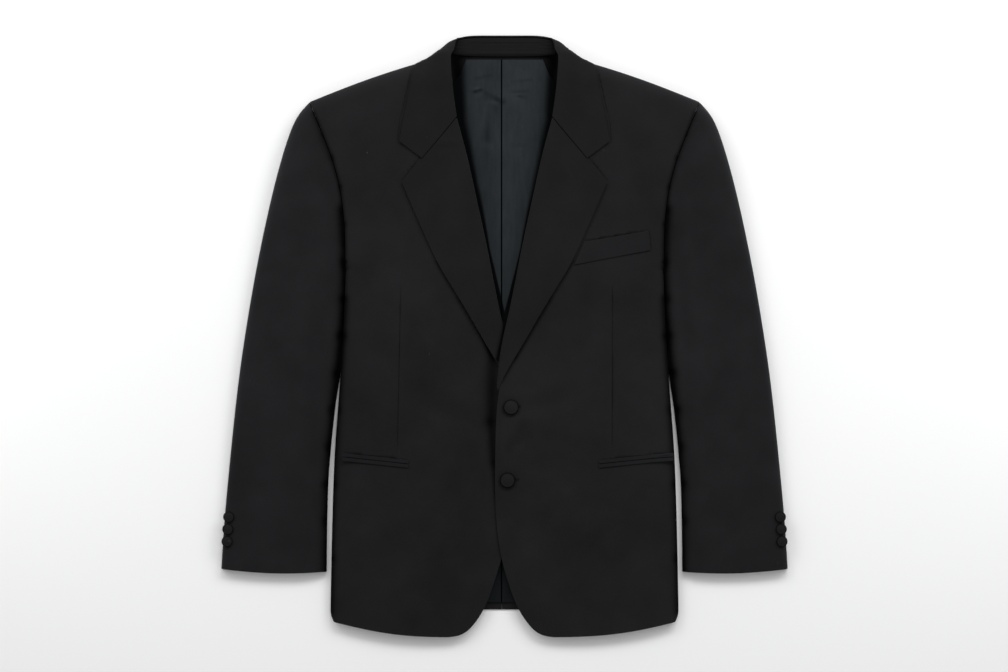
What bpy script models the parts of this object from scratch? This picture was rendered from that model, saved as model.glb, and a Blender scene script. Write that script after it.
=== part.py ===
"""A tuxedo jacket laid flat on its back and buttoned, in metres.

+X is the wearer's left, +Y runs towards the collar and +Z up from the table.
Tables give the wearer's left half; the right half has the opposite X.
"""
import math
from collections import namedtuple

import bmesh
import bpy
from mathutils import Vector

# Driving dimensions
WALL = 0.0015
LINING_WALL = 0.0010
LAPEL_WALL = 0.0022
COLLAR_WALL = 0.0020
TRIM_WALL = 0.0012
SEAM_GAP = 0.0003
ARMHOLE_GAP = 0.0012
LAPEL_GAP = 0.0006
LINING_GAP = 0.0006
RIDGE_EASE = 0.0018
ROLL_RATIO = 1.3
BODY_SEAM_SHARE = 0.5
SLEEVE_SEAM_SHARE = 0.22
CENTRE_BACK_X = -0.0034
SWAY = 0.0045
LAP_DROP = 0.0048
LAP_DROP_BELOW = 0.0022
UNDERLAP = 0.012
LAPEL_ROLL = 0.003
LAPEL_TURN_SHARE = 0.45
LAPEL_PUFF = 0.02
COLLAR_PUFF_SHARE = 0.25
LAPEL_SETBACK = 0.0036
LAPEL_LIFT = 0.0016
NECK_RAISE = 0.0030
HEM_BOW = 0.006
SHOULDER_BOW = 0.004
CUFF_BOW = 0.004
BUTTON_RADIUS = 0.0103
BUTTON_HEIGHT = 0.0042
CUFF_BUTTON_RADIUS = 0.0074
CUFF_BUTTON_HEIGHT = 0.0034
JET_WIDTH = 0.0047

# Numbers of strips across and along
ROLL_STEPS = 4
LAPEL_TURN_STEPS = 3
LAPEL_STRIPS = 5
SLEEVE_STRIPS = 6
SLEEVE_RINGS = 16
FRONT_STRIPS = 4
COLLAR_STRIPS = 8
FRONT_EDGE_WAYS = (0.066, 0.044, 0.030, 0.021, 0.013, 0.006, 0.0)
NECK_WAYS = (0.008, 0.020, 0.040)

Spot = namedtuple("Spot", "x y")
Loft = namedtuple("Loft", "y edge mid side")
SleeveLoft = namedtuple("SleeveLoft", "y height")
Row = namedtuple("Row", "side_y inner_y")
Fold = namedtuple("Fold", "x y angle length width depth")
NeckRow = namedtuple("NeckRow", "lies roll_x roll_y roll_z crown_x crown_y crown_z edge_x edge_y edge_z")
StandRow = namedtuple("StandRow", "top_x top_y top_z foot_x foot_y foot_z")

UNDERARM = Spot(0.2143, 0.088)
SHOULDER_TIP = Spot(0.2625, 0.3155)
NECK_POINT = Spot(0.0762, 0.3790)

# Outline of the left half, from the hem up
BODY_SIDE = [
    Spot(0.2310, -0.386), Spot(0.2352, -0.374), Spot(0.2345, -0.335), Spot(0.2322, -0.230),
    Spot(0.2290, -0.149), Spot(0.2240, -0.085), Spot(0.2205, -0.040), Spot(0.2165, 0.030), UNDERARM,
]
ARMHOLE = [
    UNDERARM, Spot(0.2147, 0.146), Spot(0.2194, 0.193), Spot(0.2288, 0.232), Spot(0.2477, 0.281),
    SHOULDER_TIP,
]
FRONT_EDGE = [
    Spot(0.0700, -0.4065), Spot(0.0580, -0.4050), Spot(0.0470, -0.4000), Spot(0.0370, -0.3900),
    Spot(0.0230, -0.3700), Spot(0.0100, -0.3350), Spot(0.0000, -0.3020), Spot(-0.0060, -0.2630),
    Spot(-0.0090, -0.2200), Spot(-0.0100, -0.1500), Spot(-0.0095, -0.0850), Spot(-0.0085, -0.0630),
    Spot(-0.0034, -0.0050), Spot(0.0070, 0.0350), Spot(0.0223, 0.1150), Spot(0.0375, 0.1840),
    Spot(0.0520, 0.2500), Spot(0.0640, 0.2930), Spot(0.0700, 0.3350), Spot(0.0725, 0.3726), NECK_POINT,
]
LAPEL_EDGE = [
    Spot(-0.0020, -0.0560), Spot(0.0240, -0.0120), Spot(0.0600, 0.0500), Spot(0.0884, 0.0945),
    Spot(0.1033, 0.1270), Spot(0.1276, 0.1820), Spot(0.1377, 0.2060),
]
SLEEVE_INSIDE = [
    UNDERARM, Spot(0.2178, 0.030), Spot(0.2217, -0.016), Spot(0.2252, -0.051), Spot(0.2302, -0.094),
    Spot(0.2340, -0.135), Spot(0.2380, -0.192), Spot(0.2398, -0.256), Spot(0.2404, -0.3185),
]
SLEEVE_OUTSIDE = [
    SHOULDER_TIP, Spot(0.2690, 0.3130), Spot(0.2770, 0.3045), Spot(0.2870, 0.2840), Spot(0.2980, 0.2510),
    Spot(0.3100, 0.2080), Spot(0.3250, 0.1430), Spot(0.3380, 0.0780), Spot(0.3490, 0.0130),
    Spot(0.3585, -0.0510), Spot(0.3660, -0.1160), Spot(0.3725, -0.1810), Spot(0.3790, -0.2500),
    Spot(0.3830, -0.3145),
]
BACK_SEAM = [
    Spot(0.1700, -0.3830), Spot(0.1670, -0.2000), Spot(0.1590, -0.0500), Spot(0.1640, 0.0500),
    Spot(0.1840, 0.1150), Spot(0.2100, 0.1640), Spot(0.2145, 0.1760),
]

# Height of the laid cloth above the table
BODY_LOFT = [
    Loft(-0.410, 0.0085, 0.0130, 0.0120), Loft(-0.300, 0.0120, 0.0145, 0.0130),
    Loft(-0.170, 0.0150, 0.0170, 0.0145), Loft(-0.050, 0.0165, 0.0205, 0.0160),
    Loft(0.088, 0.0180, 0.0245, 0.0195), Loft(0.200, 0.0190, 0.0275, 0.0260),
    Loft(0.300, 0.0235, 0.0300, 0.0310), Loft(0.400, 0.0265, 0.0310, 0.0330),
]
SLEEVE_LOFT = [
    SleeveLoft(-0.325, 0.0120), SleeveLoft(-0.200, 0.0150), SleeveLoft(-0.050, 0.0185),
    SleeveLoft(0.088, 0.0195), SleeveLoft(0.200, 0.0260), SleeveLoft(0.300, 0.0310),
    SleeveLoft(0.400, 0.0330),
]

# Largest soft folds: a ridge is positive and a trough negative
BODY_FOLDS = [
    Fold(0.060, -0.118, 24, 0.070, 0.012, -0.0009), Fold(0.045, -0.150, 48, 0.055, 0.011, -0.0008),
    Fold(-0.070, -0.110, 158, 0.070, 0.013, -0.0009), Fold(0.185, -0.060, 75, 0.080, 0.012, 0.0010),
    Fold(-0.188, -0.050, 104, 0.090, 0.013, 0.0010), Fold(0.150, 0.110, 62, 0.060, 0.014, -0.0009),
    Fold(-0.152, 0.120, 118, 0.055, 0.014, -0.0009), Fold(0.120, -0.290, 96, 0.080, 0.016, -0.0008),
    Fold(-0.125, -0.300, 86, 0.085, 0.015, -0.0008),
]
SLEEVE_FOLDS = [
    Fold(0.262, 0.050, 118, 0.050, 0.011, -0.0014), Fold(0.268, -0.030, 140, 0.045, 0.010, -0.0012),
    Fold(0.282, -0.075, 152, 0.040, 0.010, 0.0010), Fold(0.305, 0.160, 104, 0.075, 0.014, -0.0010),
    Fold(0.318, -0.120, 98, 0.070, 0.013, -0.0009), Fold(0.300, -0.215, 90, 0.060, 0.014, 0.0008),
]

FRONT_ROWS = [
    Row(-0.3860, -0.4065), Row(-0.3835, -0.4050), Row(-0.3790, -0.4000), Row(-0.3730, -0.3900),
    Row(-0.3600, -0.3700), Row(-0.3350, -0.3400), Row(-0.3020, -0.3020), Row(-0.2600, -0.2600),
    Row(-0.2200, -0.2200), Row(-0.1800, -0.1800), Row(-0.1400, -0.1400), Row(-0.1000, -0.1000),
    Row(-0.0600, -0.0600), Row(-0.0200, -0.0200), Row(0.0300, 0.0300),
]
FRONT_UNDERARM_Y = 0.0880
BACK_ROWS = [
    Row(-0.3860, -0.3700), Row(-0.3740, -0.3600), Row(-0.3300, -0.3200), Row(-0.2500, -0.2500),
    Row(-0.1600, -0.1600), Row(-0.0800, -0.0800), Row(0.0000, 0.0000), Row(0.0500, 0.0500),
]
BACK_NECK_Y = 0.3765
LINING_YS = (-0.3600, -0.3000, -0.2200, -0.1200, -0.0200, 0.0800, 0.1800, 0.2500, 0.2850, 0.3050, 0.3220,
             0.3450, 0.3735)
LAPEL_ROWS = [
    Row(0.2060, 0.2930), Row(0.1820, 0.2660), Row(0.1540, 0.2350), Row(0.1270, 0.2020),
    Row(0.0945, 0.1600), Row(0.0620, 0.1150), Row(0.0300, 0.0700), Row(0.0060, 0.0300),
    Row(-0.0200, -0.0080), Row(-0.0400, -0.0330), Row(-0.0540, -0.0500),
]
NOTCH = Spot(0.1110, 0.2388)
COLLAR_TIP = Spot(0.1410, 0.2610)

COLLAR_ROWS = [
    NeckRow("above", 0.0668, 0.3120, 0.0, 0.1010, 0.3000, 0.0, 0.1372, 0.2850, 0.0),
    NeckRow("above", 0.0695, 0.3330, 0.0, 0.1005, 0.3270, 0.0, 0.1310, 0.3150, 0.0),
    NeckRow("above", 0.0715, 0.3560, 0.0, 0.0985, 0.3520, 0.0, 0.1250, 0.3430, 0.0),
    NeckRow("round", 0.0722, 0.3740, 0.0290, 0.0975, 0.3740, 0.0295, 0.1225, 0.3560, 0.0262),
    NeckRow("round", 0.0720, 0.3790, 0.0275, 0.0970, 0.3810, 0.0280, 0.1212, 0.3655, 0.0262),
    NeckRow("round", 0.0718, 0.3840, 0.0255, 0.0960, 0.3855, 0.0225, 0.1200, 0.3712, 0.0200),
    NeckRow("round", 0.0712, 0.3880, 0.0240, 0.0945, 0.3872, 0.0180, 0.1188, 0.3716, 0.0130),
    NeckRow("below", 0.0700, 0.3915, 0.0220, 0.0930, 0.3881, 0.0140, 0.1165, 0.3655, 0.0),
    NeckRow("below", 0.0685, 0.3955, 0.0190, 0.0880, 0.3906, 0.0110, 0.1100, 0.3600, 0.0),
    NeckRow("below", 0.0640, 0.4020, 0.0130, 0.0730, 0.3994, 0.0075, 0.0950, 0.3540, 0.0),
    NeckRow("below", 0.0480, 0.4050, 0.0075, 0.0520, 0.4065, 0.0040, 0.0680, 0.3500, 0.0),
    NeckRow("below", 0.0250, 0.4048, 0.0066, 0.0265, 0.4065, 0.0034, 0.0340, 0.3480, 0.0),
    NeckRow("below", 0.0000, 0.4048, 0.0064, 0.0000, 0.4065, 0.0032, 0.0000, 0.3470, 0.0),
]
STAND_ROWS = [
    StandRow(0.0690, 0.3880, 0.0205, 0.0700, 0.3815, 0.0110),
    StandRow(0.0655, 0.3979, 0.0125, 0.0670, 0.3805, 0.0078),
    StandRow(0.0500, 0.4026, 0.0066, 0.0520, 0.3785, 0.0055),
    StandRow(0.0250, 0.4028, 0.0052, 0.0260, 0.3782, 0.0048),
    StandRow(0.0000, 0.4028, 0.0050, 0.0000, 0.3781, 0.0047),
]

# Pockets and buttons
WELT_CORNERS = [Spot(0.0935, 0.0957), Spot(0.1964, 0.1154), Spot(0.1937, 0.1410), Spot(0.1070, 0.1262)]
JET_INNER = Spot(0.1285, -0.1725)
JET_OUTER = Spot(0.2190, -0.1630)
FRONT_BUTTONS = {"upper": Spot(0.0088, -0.0959), "lower": Spot(0.0040, -0.1944)}
CUFF_BUTTON_YS = (-0.2440, -0.2605, -0.2770)
CUFF_BUTTON_INSET = 0.0066

# Dress colours: red, green, blue, roughness
CLOTH = (0.0145, 0.0150, 0.0165, 0.85)
FACING = (0.0165, 0.0160, 0.0160, 0.80)
SATIN = (0.0230, 0.0330, 0.0370, 0.40)
COVERED = (0.0150, 0.0150, 0.0160, 0.75)


def curve_at(knots, values, t):
    """A smooth curve through the values at the rising knots, kept from overshooting."""
    last = len(knots) - 1
    if t <= knots[0]:
        return values[0]
    if t >= knots[last]:
        return values[last]
    k = 0
    while knots[k + 1] < t:
        k += 1
    span = knots[k + 1] - knots[k]
    slope = (values[k + 1] - values[k]) / span
    before = (values[k] - values[k - 1]) / (knots[k] - knots[k - 1]) if k > 0 else slope
    after = (values[k + 2] - values[k + 1]) / (knots[k + 2] - knots[k + 1]) if k + 2 <= last else slope
    start = 0.5 * (before + slope) if before * slope > 0 else 0.0
    end = 0.5 * (after + slope) if after * slope > 0 else 0.0
    u = (t - knots[k]) / span
    return (values[k] * (1 + 2 * u) * (1 - u) ** 2 + values[k + 1] * u * u * (3 - 2 * u)
            + span * (start * u * (1 - u) ** 2 - end * u * u * (1 - u)))


def x_at(path, y):
    """X of an outline, listed up or down in Y, at a height."""
    rising = path if path[0].y < path[-1].y else path[::-1]
    return curve_at([p.y for p in rising], [p.x for p in rising], y)


def along(path, fraction):
    """Point of a path at a fraction of its length."""
    lengths = [0.0]
    for a, b in zip(path, path[1:]):
        lengths.append(lengths[-1] + math.hypot(b.x - a.x, b.y - a.y))
    t = fraction * lengths[-1]
    return Spot(curve_at(lengths, [p.x for p in path], t), curve_at(lengths, [p.y for p in path], t))


def dense(path, count=40):
    return [along(path, i / count) for i in range(count + 1)]


def way_to(polyline, x, y):
    """Shortest way from a point to a polyline."""
    best = 1.0
    for a, b in zip(polyline, polyline[1:]):
        dx, dy = b.x - a.x, b.y - a.y
        u = max(0.0, min(1.0, ((x - a.x) * dx + (y - a.y) * dy) / (dx * dx + dy * dy)))
        best = min(best, math.hypot(x - a.x - u * dx, y - a.y - u * dy))
    return best


SIDE_LINE = dense(BODY_SIDE)
INSIDE_LINE = dense(SLEEVE_INSIDE)
TOP_LINE = [NECK_POINT] + [
    Spot(NECK_POINT.x + (SHOULDER_TIP.x - NECK_POINT.x) * i / 12,
         NECK_POINT.y + (SHOULDER_TIP.y - NECK_POINT.y) * i / 12 + SHOULDER_BOW * math.sin(math.pi * i / 12))
    for i in range(1, 12)
] + dense(SLEEVE_OUTSIDE, 60)


def smooth(low, high, t):
    u = max(0.0, min(1.0, (t - low) / (high - low)))
    return u * u * (3 - 2 * u)


def fold_relief(folds, x, y):
    """Ridges and troughs of the soft folds at a point."""
    relief = 0.0
    for fold in folds:
        turn = math.radians(fold.angle)
        dx, dy = x - fold.x, y - fold.y
        lengthwise = (dx * math.cos(turn) + dy * math.sin(turn)) / (0.5 * fold.length)
        across = (dy * math.cos(turn) - dx * math.sin(turn)) / fold.width
        relief += fold.depth * math.exp(-lengthwise ** 2 - across ** 2)
    return relief


def body_loft(x, y):
    """Height of the body's cloth away from its folds; x is on the left half."""
    knots = [row.y for row in BODY_LOFT]
    edge, mid, side = (curve_at(knots, [row[k] for row in BODY_LOFT], y) for k in (1, 2, 3))
    c = min(1.0, abs(x) / (x_at(BODY_SIDE, y) if y < UNDERARM.y else x_at(ARMHOLE, min(y, SHOULDER_TIP.y))))
    return edge * (1 - c) * (1 - 2 * c) + 4 * mid * c * (1 - c) + side * c * (2 * c - 1)


def sleeve_loft(x, y):
    return curve_at([row.y for row in SLEEVE_LOFT], [row.height for row in SLEEVE_LOFT], y)


def fullness(way, roll):
    """How far a folded edge has opened out at a way in from it, from 0 to 1."""
    return 1.0 if way >= roll else math.sqrt(max(0.0, 1 - (1 - way / roll) ** 2))


def surface(part, face, side, x, y, on_fold=False):
    """Height of the upper or lower outer face of the body or a sleeve."""
    loft = body_loft(x, y) if part == "body" else sleeve_loft(x, y)
    line = SIDE_LINE if part == "body" else INSIDE_LINE
    middle = (BODY_SEAM_SHARE if part == "body" else SLEEVE_SEAM_SHARE) * loft
    roll = ROLL_RATIO * (BODY_SEAM_SHARE * loft if face == "upper" else middle)
    q = 0.0 if on_fold else fullness(min(way_to(line, x, y), way_to(TOP_LINE, x, y)), roll)
    if face == "upper":
        relief = fold_relief(BODY_FOLDS, side * x, y) if part == "body" else fold_relief(SLEEVE_FOLDS, x, y)
        start = middle + 0.5 * SEAM_GAP
        height = start + (loft + relief - start) * q
        return height - lap_drop(x, y) if part == "body" and side < 0 else height
    raised = 0.0
    if part == "body":
        raised = NECK_RAISE * smooth(0.200, 0.325, y) * q
    return (middle - 0.5 * SEAM_GAP) * (1 - q) + raised


def lap_drop(x, y):
    """How far the right front sinks where it passes under the left one."""
    depth = LAP_DROP_BELOW + (LAP_DROP - LAP_DROP_BELOW) * smooth(-0.190, -0.115, y)
    return depth * smooth(0.046, 0.012, x) * smooth(-0.350, -0.312, y) * smooth(0.130, 0.050, y)


def sway(y):
    """The closed fronts lie a little to the wearer's right below the waist."""
    return -SWAY * smooth(0.0, -0.30, y)


def roll_offsets(roll):
    return [roll * (1 - math.cos(0.5 * math.pi * k / ROLL_STEPS)) for k in range(ROLL_STEPS + 1)]


def across(width, start_roll, end_roll, strips):
    """Fractions across a row, close together where a fold rolls over at the start or end."""
    head = roll_offsets(start_roll) if start_roll else [0.0]
    tail = roll_offsets(end_roll) if end_roll else [0.0]
    low, high = head[-1], width - tail[-1]
    middle = [low + (high - low) * k / strips for k in range(1, strips)]
    return [d / width for d in head + middle + [width - d for d in reversed(tail)]]


def across_front(width, roll):
    """Fractions across a front, close at the side fold and again at the front edge."""
    head = roll_offsets(roll)
    low, high = head[-1], width - FRONT_EDGE_WAYS[0]
    middle = [low + (high - low) * k / FRONT_STRIPS for k in range(1, FRONT_STRIPS)]
    return [d / width for d in head + middle + [width - d for d in FRONT_EDGE_WAYS]]


def roll_at(part, spot):
    loft = body_loft(spot.x, spot.y) if part == "body" else sleeve_loft(spot.x, spot.y)
    return BODY_SEAM_SHARE * loft * ROLL_RATIO


ARMHOLE_LENGTH = sum(math.hypot(b.x - a.x, b.y - a.y) for a, b in zip(ARMHOLE, ARMHOLE[1:]))
ARMHOLE_STOPS = across(ARMHOLE_LENGTH, roll_at("sleeve", UNDERARM), roll_at("sleeve", SHOULDER_TIP),
                       SLEEVE_STRIPS)
ARMHOLE_SPOTS = [along(ARMHOLE, f) for f in ARMHOLE_STOPS]


def wall(name, outer, thickness, finish, faces_up=True, level=()):
    """Close a grid of outer points into a wall whose inner face lies a thickness behind it.

    The points in level lie on a fold's edge, where the wall is cut square to the table.
    """
    rows, columns = len(outer), len(outer[0])
    mesh = bmesh.new()
    skin = [[mesh.verts.new(p) for p in row] for row in outer]
    for i in range(rows - 1):
        for j in range(columns - 1):
            mesh.faces.new((skin[i][j], skin[i][j + 1], skin[i + 1][j + 1], skin[i + 1][j]))
    mesh.normal_update()
    lean = sum(face.normal.z * face.calc_area() for face in mesh.faces)
    sign = 1 if (lean > 0) == faces_up else -1
    inner = []
    for i in range(rows):
        line = []
        for j in range(columns):
            normal = sign * skin[i][j].normal
            if (i, j) in level:
                normal.z = 0.0
                normal.normalize()
            line.append(mesh.verts.new(skin[i][j].co - normal * thickness))
        inner.append(line)
    for i in range(rows - 1):
        for j in range(columns - 1):
            mesh.faces.new((inner[i][j], inner[i + 1][j], inner[i + 1][j + 1], inner[i][j + 1]))
    rim = ([(0, j) for j in range(columns)] + [(i, columns - 1) for i in range(1, rows)]
           + [(rows - 1, j) for j in range(columns - 2, -1, -1)] + [(i, 0) for i in range(rows - 2, 0, -1)])
    for a, b in zip(rim, rim[1:] + rim[:1]):
        mesh.faces.new((skin[b[0]][b[1]], skin[a[0]][a[1]], inner[a[0]][a[1]], inner[b[0]][b[1]]))
    bmesh.ops.recalc_face_normals(mesh, faces=mesh.faces)
    add_object(name, mesh, finish)


def add_object(name, mesh, finish):
    data = bpy.data.meshes.new(name)
    mesh.to_mesh(data)
    mesh.free()
    data.shade_smooth()
    data.set_sharp_from_angle(angle=math.radians(40))
    piece = bpy.data.objects.new(name, data)
    jacket.objects.link(piece)
    red, green, blue, rough = finish
    material = bpy.data.materials.new(name + "_cloth")
    material.use_nodes = True
    shader = material.node_tree.nodes["Principled BSDF"]
    shader.inputs["Base Color"].default_value = (red, green, blue, 1.0)
    shader.inputs["Roughness"].default_value = rough
    data.materials.append(material)
    return piece


def front_edge_x(y, side):
    """X of a front's own edge, set back inside the lapel's roll and let out under the other front."""
    setback = LAPEL_SETBACK * smooth(-0.085, -0.060, y)
    tuck = UNDERLAP * smooth(-0.290, -0.230, y) * smooth(-0.060, -0.100, y) if side < 0 else 0.0
    return x_at(FRONT_EDGE, y) + setback - tuck


def body_rows(table, underarm_y, inner_top):
    """Pair each height at the side with one at the inner edge, from the hem to the shoulder."""
    rows = [(Spot(x_at(BODY_SIDE, row.side_y), row.side_y), row.inner_y, True) for row in table]
    last = len(ARMHOLE_SPOTS) - 1
    knee = ARMHOLE_SPOTS[last - ROLL_STEPS]
    slant = 1.05
    knee_y = inner_top - slant * (SHOULDER_TIP.y - knee.y)
    for k, spot in enumerate(ARMHOLE_SPOTS):
        if k <= last - ROLL_STEPS:
            inner_y = underarm_y + (knee_y - underarm_y) * (spot.y - UNDERARM.y) / (knee.y - UNDERARM.y)
        else:
            inner_y = inner_top - slant * (SHOULDER_TIP.y - spot.y)
        rows.append((spot, inner_y, k == 0))
    return rows


def front(side, name):
    rows = body_rows(FRONT_ROWS, FRONT_UNDERARM_Y, NECK_POINT.y)
    grid = []
    level = set()
    for i, (spot, inner_y, on_side) in enumerate(rows):
        top = i == len(rows) - 1
        inner_x = NECK_POINT.x if top else front_edge_x(inner_y, side)
        width = math.hypot(spot.x - inner_x, spot.y - inner_y)
        line = []
        for j, c in enumerate(across_front(width, roll_at("body", spot))):
            x = spot.x + (inner_x - spot.x) * c
            bow = -HEM_BOW * smooth(-0.30, -0.386, spot.y) + SHOULDER_BOW * smooth(0.20, 0.30, spot.y)
            y = spot.y + (inner_y - spot.y) * c + bow * math.sin(math.pi * c)
            on_fold = top or (j == 0 and on_side)
            if on_fold:
                level.add((i, j))
            z = surface("body", "upper", side, x, y, on_fold)
            line.append(Vector((side * x + sway(y) * smooth(0.2, 0.05, x), y, z)))
        grid.append(line)
    wall(name, grid, WALL, CLOTH, level=level)


def back(side, name):
    """A back panel, from the side seam or the armhole to the centre back seam."""
    rows = body_rows(BACK_ROWS, FRONT_UNDERARM_Y, NECK_POINT.y)
    centre_x = side * CENTRE_BACK_X + 0.5 * SEAM_GAP
    strips = (0.0, 0.08, 0.30, 0.55, 0.80, 1.0)
    seam_top = BACK_SEAM[-1].y
    grid = []
    level = set()
    for i, (spot, inner_y, on_side) in enumerate(rows):
        top = i == len(rows) - 1
        if spot.y < seam_top:
            edge = Spot(x_at(BACK_SEAM, spot.y) - 0.5 * SEAM_GAP, spot.y)
            if spot.y < BACK_SEAM[0].y:
                edge = Spot(BACK_SEAM[0].x - 0.5 * SEAM_GAP, hem_y(BACK_SEAM[0].x, spot.y, inner_y))
        else:
            edge = spot
        rise = smooth(0.20, NECK_POINT.y, inner_y)
        line = []
        for c in strips:
            bow = SHOULDER_BOW * smooth(0.20, 0.30, spot.y) * math.sin(math.pi * c)
            line.append(Spot(edge.x + (NECK_POINT.x - edge.x) * c, edge.y + (inner_y - edge.y) * c + bow))
        for way in NECK_WAYS + (NECK_POINT.x - centre_x,):
            dip = (BACK_NECK_Y - NECK_POINT.y) * rise * smooth(0.0, NECK_WAYS[-1], way)
            line.append(Spot(NECK_POINT.x - way, inner_y + dip))
        for j, p in enumerate(line):
            on_fold = top and j < len(strips)
            if on_fold:
                level.add((i, j))
            line[j] = Vector((side * p.x, p.y, surface("body", "lower", side, p.x, p.y, on_fold)))
        grid.append(line)
    wall(name, grid, WALL, CLOTH, faces_up=False, level=level)


def hem_y(x, side_y, centre_y):
    """Height of a back row where the side seam crosses it."""
    return side_y + (centre_y - side_y) * (1 - x / BODY_SIDE[0].x)


def side_panel(side, name):
    """The panel under the side fold, from the fold to the back's seam."""
    grid = []
    level = set()
    rows = body_rows(BACK_ROWS, FRONT_UNDERARM_Y, NECK_POINT.y)
    for i, (spot, inner_y, on_side) in enumerate(rows):
        if on_side:
            level.add((i, 0))
        if spot.y >= BACK_SEAM[-1].y:
            break
        seam = Spot(x_at(BACK_SEAM, spot.y) + 0.5 * SEAM_GAP, spot.y)
        if spot.y < BACK_SEAM[0].y:
            seam = Spot(BACK_SEAM[0].x + 0.5 * SEAM_GAP, hem_y(BACK_SEAM[0].x, spot.y, inner_y))
        width = math.hypot(spot.x - seam.x, spot.y - seam.y)
        line = []
        for j, c in enumerate(across(width, min(roll_at("body", spot), 0.6 * width), 0, 3)):
            x = spot.x + (seam.x - spot.x) * c
            y = spot.y + (seam.y - spot.y) * c
            z = surface("body", "lower", side, x, y, on_fold=j == 0 and on_side)
            line.append(Vector((side * x, y, z)))
        grid.append(line)
    wall(name, grid, WALL, CLOTH, faces_up=False, level=level)


def sleeve_point(w, v):
    """Blend the armhole, the cuff and the two sleeve folds into one sheet."""
    inside, outside = along(SLEEVE_INSIDE, v), along(SLEEVE_OUTSIDE, v)
    arm = along(ARMHOLE, w)
    cuff_in, cuff_out = SLEEVE_INSIDE[-1], SLEEVE_OUTSIDE[-1]
    cuff = Spot(cuff_in.x + (cuff_out.x - cuff_in.x) * w,
                cuff_in.y + (cuff_out.y - cuff_in.y) * w - CUFF_BOW * math.sin(math.pi * w))
    point = []
    for k in (0, 1):
        corners = ((1 - w) * (1 - v) * UNDERARM[k] + w * (1 - v) * SHOULDER_TIP[k]
                   + (1 - w) * v * cuff_in[k] + w * v * cuff_out[k])
        point.append((1 - v) * arm[k] + v * cuff[k] + (1 - w) * inside[k] + w * outside[k] - corners)
    return Spot(*point)


def sleeve(side, face, name):
    """The top sleeve or the under sleeve, from the armhole to the cuff."""
    grid = []
    for i in range(SLEEVE_RINGS + 1):
        v = (i / SLEEVE_RINGS) ** 1.15
        inside, outside = along(SLEEVE_INSIDE, v), along(SLEEVE_OUTSIDE, v)
        if i == 0:
            stops = ARMHOLE_STOPS
        else:
            width = math.hypot(outside.x - inside.x, outside.y - inside.y)
            stops = across(width, roll_at("sleeve", inside), roll_at("sleeve", outside), SLEEVE_STRIPS)
        line = []
        for j, w in enumerate(stops):
            spot = sleeve_point(w, v)
            on_fold = j in (0, len(stops) - 1)
            z = surface("sleeve", face, side, spot.x, spot.y, on_fold)
            step = ARMHOLE_GAP if i == 0 else 0.0
            line.append(Vector((side * (spot.x + step), spot.y, z)))
        grid.append(line)
    last = len(ARMHOLE_STOPS) - 1
    level = {(i, j) for i in range(SLEEVE_RINGS + 1) for j in (0, last)}
    wall(name, grid, WALL, CLOTH, faces_up=face == "upper", level=level)


def lapel(side, name):
    """The turned-back facing: it rolls over the front's edge and lies on the front."""
    grid = []
    for row in LAPEL_ROWS:
        roll_x = x_at(FRONT_EDGE, row.inner_y)
        edge_x = x_at(LAPEL_EDGE, row.side_y)
        width = math.hypot(edge_x - roll_x, row.side_y - row.inner_y)
        lift = LAPEL_LIFT * smooth(0.0, 0.15, row.inner_y)
        turn = min(LAPEL_ROLL, LAPEL_TURN_SHARE * width)
        height = LAPEL_GAP + LAPEL_WALL
        steps = [(0.0, -WALL)]
        for k in range(LAPEL_TURN_STEPS + 1):
            a = 0.5 * math.pi * k / LAPEL_TURN_STEPS
            steps.append((turn * (1 - math.cos(a)), height - LAPEL_ROLL + LAPEL_ROLL * math.sin(a)))
        for k in range(1, LAPEL_STRIPS + 1):
            steps.append((turn + (width - turn) * k / LAPEL_STRIPS, height))
        line = []
        for way, rise in steps:
            c = way / width
            x = roll_x + (edge_x - roll_x) * c
            y = row.inner_y + (row.side_y - row.inner_y) * c
            z = surface("body", "upper", side, x, y)
            puff = lift * math.exp(-way / LAPEL_PUFF) if rise > 0 else 0.0
            line.append(Vector((side * x + sway(y) * smooth(0.2, 0.05, x), y, z + rise + puff)))
        grid.append(line)
    wall(name, grid, LAPEL_WALL, FACING)


def ridge_y(x):
    """Height of the shoulder seam's ridge above a given X."""
    c = max(0.0, (x - NECK_POINT.x) / (SHOULDER_TIP.x - NECK_POINT.x))
    return NECK_POINT.y + (SHOULDER_TIP.y - NECK_POINT.y) * c + SHOULDER_BOW * math.sin(math.pi * c)


def collar_clearance(x, y):
    """Room between the body and the collar's outer face, eased where the shoulder rolls over."""
    return SEAM_GAP + COLLAR_WALL + RIDGE_EASE * smooth(0.040, 0.014, ridge_y(x) - y)


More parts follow.
